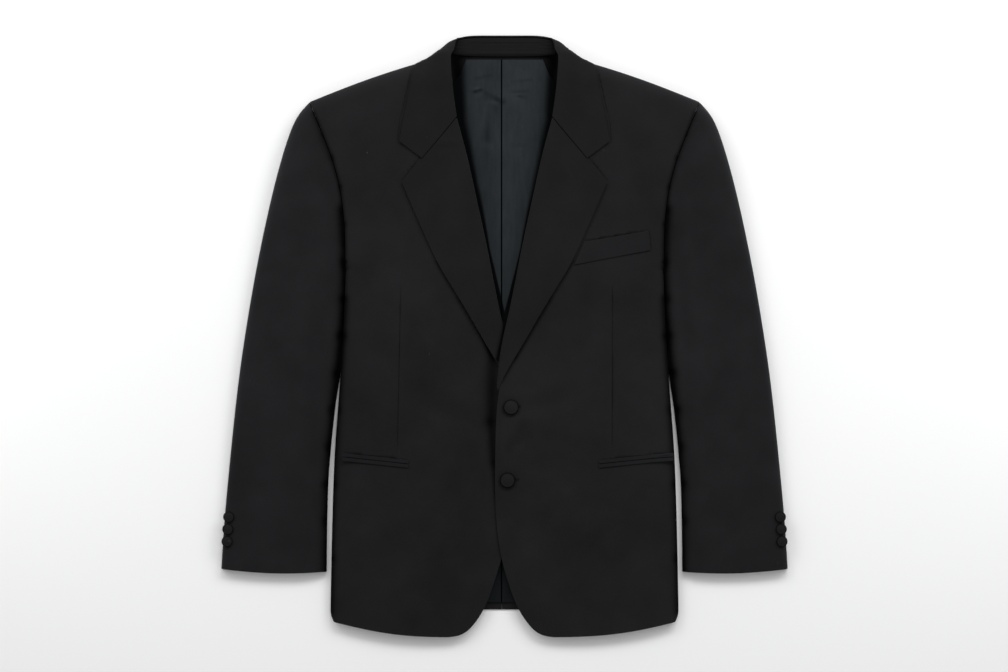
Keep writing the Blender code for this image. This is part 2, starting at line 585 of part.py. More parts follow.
def collar_line(row, side):
    """A row of the collar from its roll, over its crown, to its outer edge."""
    roll = Vector((row.roll_x, row.roll_y, row.roll_z))
    crown = Vector((row.crown_x, row.crown_y, row.crown_z))
    edge = Vector((row.edge_x, row.edge_y, row.edge_z))
    line = []
    if row.lies != "below":
        for k in range(COLLAR_STRIPS + 1):
            t = k / COLLAR_STRIPS
            p = roll * (1 - t) * (1 - 2 * t) + crown * 4 * t * (1 - t) + edge * t * (2 * t - 1)
            if row.lies == "above":
                p.z = surface("body", "upper", 1, p.x, p.y) + collar_clearance(p.x, p.y)
                p.z += LAPEL_LIFT * math.exp(-t / COLLAR_PUFF_SHARE)
            elif p.y < ridge_y(p.x):
                p.z = max(p.z, surface("body", "upper", 1, p.x, p.y) + collar_clearance(p.x, p.y))
            line.append(p)
    else:
        turn = math.sin(math.radians(45))
        inward = edge - crown
        inward.z = 0.0
        under = crown + inward.normalized() * max(0.003, 0.8 * crown.z)
        under.z = 0.0
        first = roll + (crown - roll) * turn
        first.z = roll.z - (roll.z - crown.z) * (1 - turn)
        second = crown + (under - crown) * (1 - turn)
        second.z = crown.z * (1 - turn)
        line = [roll, first, crown, second, under]
        for k in range(1, COLLAR_STRIPS - 3):
            line.append(under + (edge - under) * k / (COLLAR_STRIPS - 4))
        for p in line[3:]:
            if p.y < ridge_y(p.x):
                lower = surface("body", "lower", 1, p.x, p.y) - collar_clearance(p.x, p.y)
                p.z = max(0.0, lower) * smooth(NECK_POINT.x, 0.100, p.x)
    return [Vector((side * p.x, p.y, p.z)) for p in line]


def collar_front_row(side):
    """The collar's front end, along the gorge to the notch and out to the tip."""
    roll = Spot(x_at(FRONT_EDGE, LAPEL_ROWS[0].inner_y), LAPEL_ROWS[0].inner_y + 0.0018)
    line = []
    knee = COLLAR_STRIPS - 3
    for k in range(COLLAR_STRIPS + 1):
        a, b, t = (roll, NOTCH, k / knee) if k <= knee else (NOTCH, COLLAR_TIP, (k - knee) / 3)
        x = a.x + (b.x - a.x) * t
        y = a.y + (b.y - a.y) * t + 0.0004
        z = surface("body", "upper", 1, x, y) + SEAM_GAP + COLLAR_WALL + LAPEL_LIFT * math.exp(-k / 1.8)
        line.append(Vector((side * x, y, z)))
    return line


def collar():
    left = [collar_front_row(1)] + [collar_line(row, 1) for row in COLLAR_ROWS]
    right = [collar_front_row(-1)] + [collar_line(row, -1) for row in COLLAR_ROWS[:-1]]
    wall("collar", left + right[::-1], COLLAR_WALL, CLOTH)


def collar_stand():
    half = []
    for side, rows in ((1, STAND_ROWS), (-1, STAND_ROWS[-2::-1])):
        for row in rows:
            line = []
            for k in range(3):
                t = k / 2
                line.append(Vector((side * (row.top_x + (row.foot_x - row.top_x) * t),
                                    row.top_y + (row.foot_y - row.top_y) * t,
                                    row.top_z + (row.foot_z - row.top_z) * t)))
            half.append(line)
    wall("collar_stand", half, WALL, CLOTH)


def back_lining(side, name):
    grid = []
    centre_x = side * CENTRE_BACK_X + 0.5 * SEAM_GAP
    stops = (0.0, 0.3, 0.6, 1.0)
    for y in LINING_YS:
        reach = 0.80 * x_at(BODY_SIDE, y) if y < 0.26 else 0.1700 - 0.118 * smooth(0.26, 0.365, y)
        line = []
        for c in stops:
            x = centre_x + (reach - centre_x) * c
            z = surface("body", "lower", side, x, y) + WALL + LINING_GAP + LINING_WALL
            line.append(Vector((side * x, y, z)))
        grid.append(line)
    wall(name, grid, LINING_WALL, SATIN)


def strip_on_front(name, side, corners, thickness, columns, finish):
    """A flat four-cornered strip whose points are the front's, moved out."""
    low_in, low_out, high_out, high_in = corners
    grid = []
    for r in range(2):
        line = []
        for k in range(columns + 1):
            t = k / columns
            a, b = (low_in, low_out) if r == 0 else (high_in, high_out)
            x = a.x + (b.x - a.x) * t
            y = a.y + (b.y - a.y) * t
            z = surface("body", "upper", side, x, y) + SEAM_GAP + thickness
            line.append(Vector((side * x + sway(y) * smooth(0.2, 0.05, x), y, z)))
        grid.append(line)
    wall(name, grid, thickness, finish)


def pocket_jets(side, word):
    """Two narrow lips across the hip, one each side of the slit."""
    for place, low in (("upper", 0.5 * SEAM_GAP), ("lower", -0.5 * SEAM_GAP - JET_WIDTH)):
        corners = []
        for spot, rise in ((JET_INNER, low), (JET_OUTER, low), (JET_OUTER, low + JET_WIDTH),
                           (JET_INNER, low + JET_WIDTH)):
            corners.append(Spot(spot.x, spot.y + rise))
        strip_on_front("pocket_jet_" + place + "_" + word, side, corners, TRIM_WALL, 8, COVERED)


def button(name, x, y, z, radius, height):
    """A cloth-covered button: a turned dome with a rolled rim on a short shank."""
    profile = [(0.0, height), (0.55 * radius, 0.95 * height), (0.86 * radius, 0.76 * height),
               (radius, 0.50 * height), (0.90 * radius, 0.28 * height), (0.45 * radius, 0.20 * height),
               (0.35 * radius, 0.0), (0.0, 0.0)]
    mesh = bmesh.new()
    points = [mesh.verts.new((r, 0.0, h)) for r, h in profile]
    for a, b in zip(points, points[1:]):
        mesh.edges.new((a, b))
    piece = add_object(name, mesh, COVERED)
    piece.location = (x, y, z)
    screw = piece.modifiers.new("turn", "SCREW")
    screw.axis = "Z"
    screw.steps = 16
    screw.render_steps = 16
    screw.use_merge_vertices = True
    screw.merge_threshold = 0.00001
    screw.use_smooth_shade = True


def buttons():
    for place, spot in FRONT_BUTTONS.items():
        x = spot.x - sway(spot.y)
        z = surface("body", "upper", 1, x, spot.y) + 2 * SEAM_GAP
        button("front_button_" + place, spot.x, spot.y, z, BUTTON_RADIUS, BUTTON_HEIGHT)
    for side, word in ((1, "left"), (-1, "right")):
        for k, y in enumerate(CUFF_BUTTON_YS):
            x = x_at(SLEEVE_OUTSIDE, y) - CUFF_BUTTON_INSET
            z = surface("sleeve", "upper", side, x, y) + 2 * SEAM_GAP
            name = "cuff_button_%s_%d" % (word, k + 1)
            button(name, side * x, y, z, CUFF_BUTTON_RADIUS, CUFF_BUTTON_HEIGHT)


for leftover in list(bpy.data.objects):
    bpy.data.objects.remove(leftover)
jacket = bpy.data.collections.new("tuxedo_jacket")
bpy.context.scene.collection.children.link(jacket)

for hand, word in ((1, "left"), (-1, "right")):
    front(hand, "front_" + word)
    back(hand, "back_" + word)
    side_panel(hand, "side_panel_" + word)
    sleeve(hand, "upper", "top_sleeve_" + word)
    sleeve(hand, "lower", "under_sleeve_" + word)
    lapel(hand, "lapel_" + word)
    back_lining(hand, "back_lining_" + word)
    pocket_jets(hand, word)
collar()
collar_stand()
strip_on_front("chest_welt", 1, WELT_CORNERS, TRIM_WALL, 6, COVERED)
buttons()
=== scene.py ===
import math
import bmesh
import bpy
import numpy as np
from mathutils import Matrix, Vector
from mathutils.bvhtree import BVHTree


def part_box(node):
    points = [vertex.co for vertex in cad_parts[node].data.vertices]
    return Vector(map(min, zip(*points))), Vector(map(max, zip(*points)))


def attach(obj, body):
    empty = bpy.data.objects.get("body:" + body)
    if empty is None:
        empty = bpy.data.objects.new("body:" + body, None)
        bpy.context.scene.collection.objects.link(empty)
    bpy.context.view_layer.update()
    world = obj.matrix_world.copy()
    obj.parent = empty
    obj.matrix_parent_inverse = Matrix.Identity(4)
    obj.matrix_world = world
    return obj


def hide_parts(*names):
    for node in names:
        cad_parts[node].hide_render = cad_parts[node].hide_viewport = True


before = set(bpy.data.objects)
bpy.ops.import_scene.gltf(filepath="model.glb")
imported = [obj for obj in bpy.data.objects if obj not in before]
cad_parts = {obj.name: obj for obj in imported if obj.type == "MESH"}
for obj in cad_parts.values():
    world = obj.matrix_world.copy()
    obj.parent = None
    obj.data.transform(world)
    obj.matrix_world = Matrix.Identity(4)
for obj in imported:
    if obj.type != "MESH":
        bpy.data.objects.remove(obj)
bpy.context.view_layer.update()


# Fronts
# Two panels of black barathea wool over canvas, pressed flat. Each has one long dart from the chest to the
# hip pocket, and the wearer's left one laps over the right and is pulled a little by the buttons.
def shader_group(name, inputs, outputs):
    tree = bpy.data.node_groups.new(name, "ShaderNodeTree")
    for label, kind, value in inputs:
        socket = tree.interface.new_socket(label, in_out="INPUT", socket_type=kind)
        if value is not None:
            socket.default_value = value
    for label, kind in outputs:
        tree.interface.new_socket(label, in_out="OUTPUT", socket_type=kind)
    return tree, tree.nodes.new("NodeGroupInput"), tree.nodes.new("NodeGroupOutput")


def node(tree, kind, values=None, **settings):
    made = tree.nodes.new(kind)
    for key, value in settings.items():
        setattr(made, key, value)
    for key, value in (values or {}).items():
        made.inputs[key].default_value = value
    return made


def math_node(tree, operation, first, second=None, clamp=False):
    made = node(tree, "ShaderNodeMath", operation=operation, use_clamp=clamp)
    for slot_number, value in enumerate((first, second)):
        if value is None:
            continue
        if isinstance(value, (int, float)):
            made.inputs[slot_number].default_value = value
        else:
            tree.links.new(value, made.inputs[slot_number])
    return made.outputs[0]


def noise(tree, coordinates, scale, detail=2.0, roughness=0.5):
    made = node(tree, "ShaderNodeTexNoise", {"Detail": detail, "Roughness": roughness})
    if isinstance(scale, (int, float)):
        made.inputs["Scale"].default_value = scale
    else:
        tree.links.new(scale, made.inputs["Scale"])
    tree.links.new(coordinates, made.inputs["Vector"])
    return made.outputs["Fac"]


def bands(tree, coordinates, angle, pitch, waver):
    """Parallel threads at that angle from +X and that pitch, a little unsteady."""
    turn = node(tree, "ShaderNodeMapping", {"Rotation": (0.0, 0.0, -math.radians(angle))})
    tree.links.new(coordinates, turn.inputs["Vector"])
    wave = node(tree, "ShaderNodeTexWave", {"Distortion": waver, "Detail": 1.0, "Detail Scale": 2.0},
                wave_type="BANDS", bands_direction="Y", wave_profile="SIN")
    wave.inputs["Scale"].default_value = 2 * math.pi / (20 * pitch)
    tree.links.new(turn.outputs[0], wave.inputs["Vector"])
    return wave.outputs["Fac"]


def weighted(tree, *parts, clamp=False):
    """The sum of some values, each with its share."""
    total = None
    for number, (value, share) in enumerate(parts, 1):
        part = math_node(tree, "MULTIPLY", value, share)
        at_end = number == len(parts)
        total = part if total is None else math_node(tree, "ADD", total, part, clamp=clamp and at_end)
    return total


def ranged(tree, value, to, start=(0.0, 1.0), **settings):
    """A value moved from the range start into the range to."""
    ends = {"From Min": start[0], "From Max": start[1], "To Min": to[0], "To Max": to[1]}
    made = node(tree, "ShaderNodeMapRange", ends, **settings)
    tree.links.new(value, made.inputs["Value"])
    return made.outputs[0]


def mixed(tree, factor, first, second):
    """A colour between two others, which are given as numbers or as sockets."""
    made = node(tree, "ShaderNodeMix", data_type="RGBA")
    for label, colour in (("A", first), ("B", second)):
        if isinstance(colour, tuple):
            made.inputs[label].default_value = (*colour, 1.0)
        else:
            tree.links.new(colour, made.inputs[label])
    tree.links.new(factor, made.inputs["Factor"])
    return made.outputs["Result"]


def barathea_group():
    tree, given, put = shader_group("barathea_weave", [
        ("Weave depth", "NodeSocketFloat", 0.00010),
    ], [("Tone", "NodeSocketFloat"), ("Nap", "NodeSocketFloat"), ("Normal", "NodeSocketVector")])
    place = node(tree, "ShaderNodeTexCoord").outputs["Object"]
    twill = bands(tree, place, angle=52, pitch=0.0009, waver=1.6)
    weft = bands(tree, place, angle=4, pitch=0.0013, waver=1.2)
    slub = noise(tree, place, scale=620.0, detail=3.0)
    cloudy = noise(tree, place, scale=26.0, detail=3.0, roughness=0.6)
    broad = noise(tree, place, scale=6.5, detail=2.0)
    speck = noise(tree, place, scale=1350.0, detail=1.0)
    threads = weighted(tree, (twill, 0.55), (weft, 0.45))
    bump = node(tree, "ShaderNodeBump", {"Strength": 0.75})
    tree.links.new(given.outputs["Weave depth"], bump.inputs["Distance"])
    tree.links.new(weighted(tree, (threads, 0.6), (slub, 0.9)), bump.inputs["Height"])
    tone = weighted(tree, (cloudy, 0.55), (broad, 0.65), (slub, 0.40), (threads, 0.20), (speck, 0.34))
    darkest_tone = 0.56
    tone = math_node(tree, "SUBTRACT", tone, darkest_tone, clamp=True)
    nap = weighted(tree, (cloudy, 0.6), (slub, 0.4), clamp=True)
    tree.links.new(tone, put.inputs["Tone"])
    tree.links.new(nap, put.inputs["Nap"])
    tree.links.new(bump.outputs[0], put.inputs["Normal"])
    return tree


def lint_group():
    """Single pale fibres and specks caught in the cloth, far apart."""
    tree, _, put = shader_group("lint", [], [("Mask", "NodeSocketFloat")])
    fibre_bend = 0.012
    fibre_width = 0.028
    bare_share = 0.72
    place = node(tree, "ShaderNodeTexCoord").outputs["Object"]
    bend = node(tree, "ShaderNodeTexNoise", {"Scale": 90.0, "Detail": 1.0})
    tree.links.new(place, bend.inputs["Vector"])
    moved = node(tree, "ShaderNodeVectorMath", {1: (fibre_bend, fibre_bend, 0.0)}, operation="MULTIPLY_ADD")
    tree.links.new(bend.outputs["Color"], moved.inputs[0])
    tree.links.new(place, moved.inputs[2])
    long_way = node(tree, "ShaderNodeMapping", {"Scale": (1.0, 0.16, 1.0), "Rotation": (0.0, 0.0, 0.7)})
    tree.links.new(moved.outputs[0], long_way.inputs["Vector"])
    cells = node(tree, "ShaderNodeTexVoronoi", {"Scale": 88.0, "Randomness": 1.0}, feature="F1")
    tree.links.new(long_way.outputs[0], cells.inputs["Vector"])
    near = math_node(tree, "LESS_THAN", cells.outputs["Distance"], fibre_width)
    parts = node(tree, "ShaderNodeSeparateColor")
    tree.links.new(cells.outputs["Color"], parts.inputs[0])
    few = math_node(tree, "GREATER_THAN", parts.outputs[0], bare_share)
    tree.links.new(math_node(tree, "MULTIPLY", near, few), put.inputs["Mask"])
    return tree


BARATHEA = barathea_group()
LINT = lint_group()


def painted_shade_group():
    """A mask of painted shade where the cloth lies in the shade of folds, edges, gaps and seams, made uneven
    by the weave.
    """
    tree, _, put = shader_group("painted_shade_mask", [], [("Mask", "NodeSocketFloat")])
    painted = tree.nodes.new("ShaderNodeAttribute")
    painted.attribute_name = "painted_shade"
    uneven = noise(tree, node(tree, "ShaderNodeTexCoord").outputs["Object"], scale=70.0, detail=3.0)
    spread = ranged(tree, uneven, (0.86, 1.14))
    mask = math_node(tree, "MULTIPLY", painted.outputs["Fac"], spread, clamp=True)
    tree.links.new(mask, put.inputs["Mask"])
    return tree


PAINTED_SHADE = painted_shade_group()


def group_node(tree, made_group):
    made = tree.nodes.new("ShaderNodeGroup")
    made.node_tree = made_group
    return made


def wool(name, dark, light, roughness=0.92, sheen=0.06):
    """Black wool: dark and light are its colours between the threads and on the nap."""
    finish = bpy.data.materials.new(name)
    finish.use_nodes = True
    tree = finish.node_tree
    shader = tree.nodes["Principled BSDF"]
    weave = group_node(tree, BARATHEA)
    lint = group_node(tree, LINT).outputs["Mask"]
    painted_shade = group_node(tree, PAINTED_SHADE).outputs["Mask"]
    colour = mixed(tree, weave.outputs["Tone"], dark, light)
    colour = mixed(tree, lint, colour, (0.040, 0.041, 0.044))
    # Painted shade: this mask turns the wool near black and lowers its specular and sheen, where shade falls.
    colour = mixed(tree, painted_shade, colour, (0.0004, 0.0004, 0.0005))
    rough = ranged(tree, weave.outputs["Nap"], (roughness - 0.06, roughness + 0.05))
    tree.links.new(colour, shader.inputs["Base Color"])
    tree.links.new(ranged(tree, painted_shade, (0.13, 0.01)), shader.inputs["Specular IOR Level"])
    tree.links.new(ranged(tree, painted_shade, (sheen, 0.0)), shader.inputs["Sheen Weight"])
    tree.links.new(rough, shader.inputs["Roughness"])
    tree.links.new(weave.outputs["Normal"], shader.inputs["Normal"])
    shader.inputs["Sheen Roughness"].default_value = 0.45
    shader.inputs["Sheen Tint"].default_value = (0.55, 0.58, 0.66, 1.0)
    return finish


BODY_WOOL = wool("body_wool", (0.0034, 0.0034, 0.0037), (0.0138, 0.0138, 0.0150))


def fields(points, folds):
    """Heights of soft folds over (x, y). Each is x, y, angle, length, width, depth, lean: a ridge where depth
    is above zero and a trough where it is below, fading at its ends and steeper on the side it leans to."""
    waver_share = 0.06
    waver_turns = 5.0
    steeper_share = 0.55
    rise = np.zeros(len(points))
    for x, y, angle, length, width, depth, lean in folds:
        turn = math.radians(angle)
        dx = points[:, 0] - x
        dy = points[:, 1] - y
        along = dx * math.cos(turn) + dy * math.sin(turn)
        off = -dx * math.sin(turn) + dy * math.cos(turn)
        off = off - waver_share * width * np.sin(along / length * waver_turns)
        half = np.where(off * lean > 0, width * (1 - steeper_share * abs(lean)), width)
        ends = np.clip(1 - (np.abs(along) / (0.5 * length)) ** 2, 0, 1)
        rise += depth * ends ** 1.5 * np.exp(-(off / half) ** 2)
    return rise


def soft_copy(name, levels, folds=(), edge=0.0004, lines=(), rim=None):
    """The node's shape as cloth: facets smoothed, rims rounded, folds laid through both its faces. Each line
    is x, y, x, y, width, depth: a sewn ditch cut into the mesh. Cloth at or below the height rim stays."""
    rim_angle = math.radians(50)
    corner_angle = math.radians(32)
    folds_grow_over = 0.007
    bm = bmesh.new()
    bm.from_mesh(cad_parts[name].data)
    bmesh.ops.remove_doubles(bm, verts=bm.verts, dist=2e-6)
    bmesh.ops.join_triangles(bm, faces=bm.faces, angle_face_threshold=math.radians(30),
                             angle_shape_threshold=math.radians(70))
    bm.normal_update()
    crease = bm.edges.layers.float.new("crease_edge")
    pinned = bm.verts.layers.float.new("crease_vert")
    for e in bm.edges:
        if len(e.link_faces) == 2 and e.calc_face_angle(0.0) > rim_angle:
            e[crease] = 1.0
            e.smooth = False
    for v in bm.verts:
        hard = [e for e in v.link_edges if e[crease] > 0.5]
        if len(hard) > 2:
            v[pinned] = 1.0
        elif len(hard) == 2:
            ways = [(e.other_vert(v).co - v.co).normalized() for e in hard]
            if ways[0].angle(-ways[1]) > corner_angle:
                v[pinned] = 1.0
    mesh = bpy.data.meshes.new(name + "_cloth")
    for face in bm.faces:
        face.smooth = True
    bm.to_mesh(mesh)
    bm.free()
    piece = bpy.data.objects.new(name + "_cloth", mesh)
    bpy.context.scene.collection.objects.link(piece)
    finer = piece.modifiers.new("finer", "SUBSURF")
    finer.levels = levels
    finer.render_levels = levels
    rounded = piece.modifiers.new("rounded", "BEVEL")
    rounded.limit_method = "ANGLE"
    rounded.angle_limit = rim_angle
    rounded.width = edge
    rounded.segments = 2
    rounded.use_clamp_overlap = True
    deps = bpy.context.evaluated_depsgraph_get()
    smooth = bpy.data.meshes.new_from_object(piece.evaluated_get(deps))
    piece.modifiers.clear()
    piece.data = smooth
    bpy.data.meshes.remove(mesh)
    if lines:
        cut_lines(piece, lines)
    points = np.empty(len(smooth.vertices) * 3, np.float32)
    smooth.vertices.foreach_get("co", points)
    points = points.reshape(-1, 3).astype(float)
    if folds:
        free = 1.0 if rim is None else np.clip((points[:, 2] - rim) / folds_grow_over, 0, 1)
        points[:, 2] += fields(points, folds) * free
        smooth.vertices.foreach_set("co", points.astype(np.float32).ravel())
    for face in smooth.polygons:
        face.use_smooth = True
    smooth.update()
    return piece


def cut_lines(piece, lines):
    """Cuts each line into the mesh as three edges side by side and sinks the middle one."""
    side_reach = 0.012
    end_reach = 0.004
    sunk_past_end = 0.001
    bm = bmesh.new()
    bm.from_mesh(piece.data)
    for x0, y0, x1, y1, width, depth in lines:
        foot, way = Vector((x0, y0, 0)), Vector((x1 - x0, y1 - y0, 0))
        length = way.length
        way.normalize()
        off = Vector((-way.y, way.x, 0))
        near = [f for f in bm.faces
                if abs((f.calc_center_median() - foot).dot(off)) < side_reach
                and -end_reach < (f.calc_center_median() - foot).dot(way) < length + end_reach]
        for step in (-width, 0.0, width):
            geometry = set(near)
            for f in near:
                geometry.update(f.edges)
                geometry.update(f.verts)
            result = bmesh.ops.bisect_plane(bm, geom=list(geometry), dist=1e-7,
                                            plane_co=foot + off * step, plane_no=off)
            near = [f for f in set(near) | {g for g in result["geom"] if isinstance(g, bmesh.types.BMFace)}
                    if f.is_valid]
        for v in bm.verts:
            side = abs((v.co - foot).dot(off))
            on = (v.co - foot).dot(way)
            if side < width * 0.5 and -sunk_past_end < on < length + sunk_past_end:
                fade = min(1.0, on / 0.02 + 0.3, (length - on) / 0.03 + 0.25)
                v.co.z -= depth * max(fade, 0.0)
    bm.to_mesh(piece.data)
    bm.free()


def paint_shade(piece, lines):
    """Paints shade onto a piece, for its material to darken. Each line is x, y, x, y, width, strength."""
    points = np.empty(len(piece.data.vertices) * 3, np.float32)
    piece.data.vertices.foreach_get("co", points)
    points = points.reshape(-1, 3)[:, :2].astype(float)
    left = np.ones(len(points))
    for x0, y0, x1, y1, width, strength in lines:
        start, way = np.array((x0, y0)), np.array((x1 - x0, y1 - y0))
        share = np.clip((points - start) @ way / (way @ way), 0, 1)
        off = np.linalg.norm(points - start - share[:, None] * way, axis=1)
        left *= 1 - strength * np.exp(-(off / width) ** 2)
    painted = piece.data.attributes.new("painted_shade", "FLOAT", "POINT")
    painted.data.foreach_set("value", (1 - left).astype(np.float32))


def along(places, width, strength, side=1):
    """Lines of painted shade through those places, on the wearer's left or, with side -1, the right."""
    return [(side * a[0], a[1], side * b[0], b[1], width, strength) for a, b in zip(places, places[1:])]


def settle(piece, finish, nodes):
    """Gives a cloth piece its finish and its place on the body, and hides the nodes that it stands for."""
    piece.data.materials.clear()
    piece.data.materials.append(finish)
    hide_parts(*nodes)
    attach(piece, "root")


def on_top(pieces):
    """Finds the highest cloth at (x, y) among these pieces: its point and normal, or None."""
    trees = []
    for piece in pieces:
        bm = bmesh.new()
        bm.from_mesh(piece.data)
        trees.append(BVHTree.FromBMesh(bm))
        bm.free()

    def find(x, y):
        best = None
        for tree in trees:
            point, normal, _, _ = tree.ray_cast(Vector((x, y, 0.2)), Vector((0, 0, -1)))
            if point is not None and (best is None or point.z > best[0].z):
                best = (point, normal)
        return best

    return find


front_right = soft_copy("front_right", 3, folds=(
    (-0.118, 0.040, 97, 0.230, 0.026, 0.0013, 0.2),
    (-0.182, 0.020, 95, 0.240, 0.015, -0.0013, 0.3),
    (-0.160, -0.095, 88, 0.210, 0.019, 0.0011, -0.2),
    (-0.205, -0.110, 92, 0.190, 0.011, -0.0010, 0.0),
    (-0.060, -0.085, 152, 0.150, 0.013, 0.0012, 0.3),
    (-0.066, -0.112, 160, 0.120, 0.010, -0.0010, 0.0),
    (-0.058, -0.150, 14, 0.140, 0.014, 0.0009, -0.3),
    (-0.100, -0.290, 95, 0.200, 0.023, 0.0014, 0.2),
    (-0.158, -0.300, 88, 0.180, 0.016, -0.0012, 0.3),
    (-0.198, -0.270, 93, 0.190, 0.013, 0.0010, 0.0),
    (-0.052, -0.310, 101, 0.150, 0.018, -0.0010, 0.0),
    (-0.150, 0.265, 22, 0.120, 0.016, -0.0010, 0.2),
    (-0.196, 0.200, 66, 0.130, 0.012, 0.0010, 0.3),
    (-0.205, 0.150, 84, 0.110, 0.008, -0.0010, 0.2),
    (-0.0098, -0.1000, 91, 0.240, 0.0120, -0.0062, 0.0),
    (-0.2230, -0.1900, 91, 0.480, 0.0120, -0.0048, 0.0),
    (-0.0040, -0.2300, 88, 0.200, 0.0060, -0.0012, 0.0),
), lines=(
    (-0.1397, 0.0648, -0.1445, -0.1600, 0.0011, 0.0017),
    (-0.2170, -0.1583, -0.1303, -0.1672, 0.0010, 0.0018),
    (-0.1116, 0.2414, -0.1398, 0.2059, 0.0012, 0.0018),
    (-0.1250, 0.3570, -0.1413, 0.2840, 0.0012, 0.0017),
    (-0.1413, 0.2840, -0.1431, 0.2610, 0.0012, 0.0017),
), rim=0.0085)
front_left = soft_copy("front_left", 3, folds=(
    (0.122, 0.030, 84, 0.210, 0.026, 0.0013, -0.2),
    (0.186, 0.010, 86, 0.230, 0.015, -0.0013, -0.3),
    (0.166, -0.090, 92, 0.230, 0.018, 0.0011, 0.2),
    (0.204, -0.115, 88, 0.170, 0.011, -0.0010, 0.0),
    (0.056, -0.070, 26, 0.130, 0.013, 0.0013, 0.3),
    (0.060, -0.092, 12, 0.120, 0.010, -0.0010, 0.0),
    (0.058, -0.122, -20, 0.130, 0.013, 0.0011, -0.3),
    (0.050, -0.176, 8, 0.110, 0.014, -0.0008, 0.0),
    (0.092, -0.300, 86, 0.180, 0.024, 0.0013, -0.2),
    (0.150, -0.285, 93, 0.200, 0.016, -0.0012, 0.3),
    (0.196, -0.290, 87, 0.170, 0.013, 0.0010, 0.0),
    (0.042, -0.320, 80, 0.130, 0.017, -0.0009, 0.0),
    (0.158, 0.262, -24, 0.110, 0.016, -0.0010, -0.2),
    (0.194, 0.204, 112, 0.140, 0.012, 0.0010, -0.3),
    (0.206, 0.150, 97, 0.110, 0.008, -0.0010, -0.2),
    (-0.0125, -0.1080, 91, 0.220, 0.0080, 0.0042, 0.0),
    (0.2230, -0.1900, 89, 0.480, 0.0120, -0.0048, 0.0),
    (0.0094, -0.0959, 0, 0.036, 0.0100, -0.0019, 0.0),
    (0.0046, -0.1944, 0, 0.036, 0.0100, -0.0017, 0.0),
    (0.0300, -0.1280, 48, 0.060, 0.0090, -0.0010, 0.3),
    (0.0260, -0.1480, 40, 0.050, 0.0070, 0.0007, 0.0),
), lines=(
    (0.1451, 0.0690, 0.1451, -0.1600, 0.0011, 0.0017),
    (0.2250, -0.1583, 0.1303, -0.1672, 0.0010, 0.0018),
    (0.1116, 0.2414, 0.1398, 0.2059, 0.0012, 0.0018),
    (0.1250, 0.3570, 0.1413, 0.2840, 0.0012, 0.0017),
    (0.1413, 0.2840, 0.1431, 0.2610, 0.0012, 0.0017),
    (0.1072, 0.1272, 0.1937, 0.1420, 0.0010, 0.0018),
    (0.1946, 0.1415, 0.1972, 0.1160, 0.0010, 0.0014),
), rim=0.0085)
side_way = (
    (0.2158, 0.050), (0.2181, 0.0), (0.2252, -0.100), (0.2312, -0.200), (0.2338, -0.300), (0.2348, -0.372),
)
arm_way = (
    (0.2558, 0.300), (0.2317, 0.240), (0.2208, 0.200), (0.2152, 0.150), (0.2143, 0.100), (0.2158, 0.050),
)
# Painted shade along the side folds and armholes, beside the overlapping front edges, under the lower lapel
# edges and in faint creases by the buttons.
paint_shade(front_right, along(side_way, 0.0060, 0.80, -1) + along(arm_way, 0.0032, 0.60, -1) + [
    (-0.0170, -0.0150, -0.0190, -0.1150, 0.0078, 0.60), (-0.0190, -0.1150, -0.0150, -0.1700, 0.0060, 0.52),
    (-0.0150, -0.1700, -0.0100, -0.2200, 0.0040, 0.45),
    (-0.0920, 0.1000, -0.0615, 0.0500, 0.0028, 0.40), (-0.0615, 0.0500, -0.0150, -0.0300, 0.0034, 0.62),
    (-0.0090, -0.2100, -0.0010, -0.3000, 0.0028, 0.55), (-0.0150, -0.0200, -0.0330, 0.0150, 0.0045, 0.40),
])
paint_shade(front_left, along(side_way, 0.0060, 0.80) + along(arm_way, 0.0032, 0.60) + [
    (0.0920, 0.1000, 0.0615, 0.0500, 0.0028, 0.40), (0.0615, 0.0500, 0.0140, -0.0300, 0.0032, 0.62),
    (0.0140, -0.0300, -0.0060, -0.0620, 0.0026, 0.45), (0.0260, -0.1180, 0.0060, -0.1500, 0.0070, 0.16),
    (0.0340, -0.1330, 0.0200, -0.1420, 0.0060, 0.14),
])
settle(front_right, BODY_WOOL, ["front_right"])
settle(front_left, BODY_WOOL, ["front_left"])


# Side panels and back
# The side panels wrap under the side folds and meet the two halves of the back, which join in a centre seam.
# All are black wool, pressed flat by the weight of the jacket, with a few soft lengthwise folds.
side_folds = ((0.190, -0.060, 88, 0.260, 0.010, 0.0007, 0.0), (0.196, -0.270, 92, 0.180, 0.012, 0.0006, 0.0))
back_folds = (
    (0.120, 0.120, 80, 0.260, 0.018, 0.0009, 0.2),
    (0.060, -0.100, 94, 0.320, 0.022, 0.0008, 0.0),
    (0.130, -0.250, 87, 0.220, 0.016, 0.0009, -0.2),
    (-0.100, 0.080, 98, 0.280, 0.020, 0.0009, -0.2),
    (-0.050, -0.160, 86, 0.300, 0.018, 0.0008, 0.0),
    (-0.140, -0.230, 92, 0.240, 0.017, 0.0009, 0.2),
)


def mirrored(folds):
    return tuple((-x, y, 180 - angle, length, width, depth, lean)
                 for x, y, angle, length, width, depth, lean in folds)


for hand, folds in (("left", side_folds), ("right", mirrored(side_folds))):
    panel = soft_copy("side_panel_" + hand, 2, folds=folds)
    settle(panel, BODY_WOOL, ["side_panel_" + hand])
for hand, area in (("left", 0.142), ("right", 0.137)):
    half_back = soft_copy("back_" + hand, 2, folds=back_folds)
    # Painted shade at the two neck corners of the back and along the back neck, under the collar.
    paint_shade(half_back, [
        (-0.066, 0.380, -0.060, 0.320, 0.013, 0.94), (0.066, 0.380, 0.060, 0.320, 0.013, 0.94),
        (-0.0600, 0.3780, 0.0600, 0.3780, 0.0040, 0.85),
    ])
    settle(half_back, BODY_WOOL, ["back_" + hand])


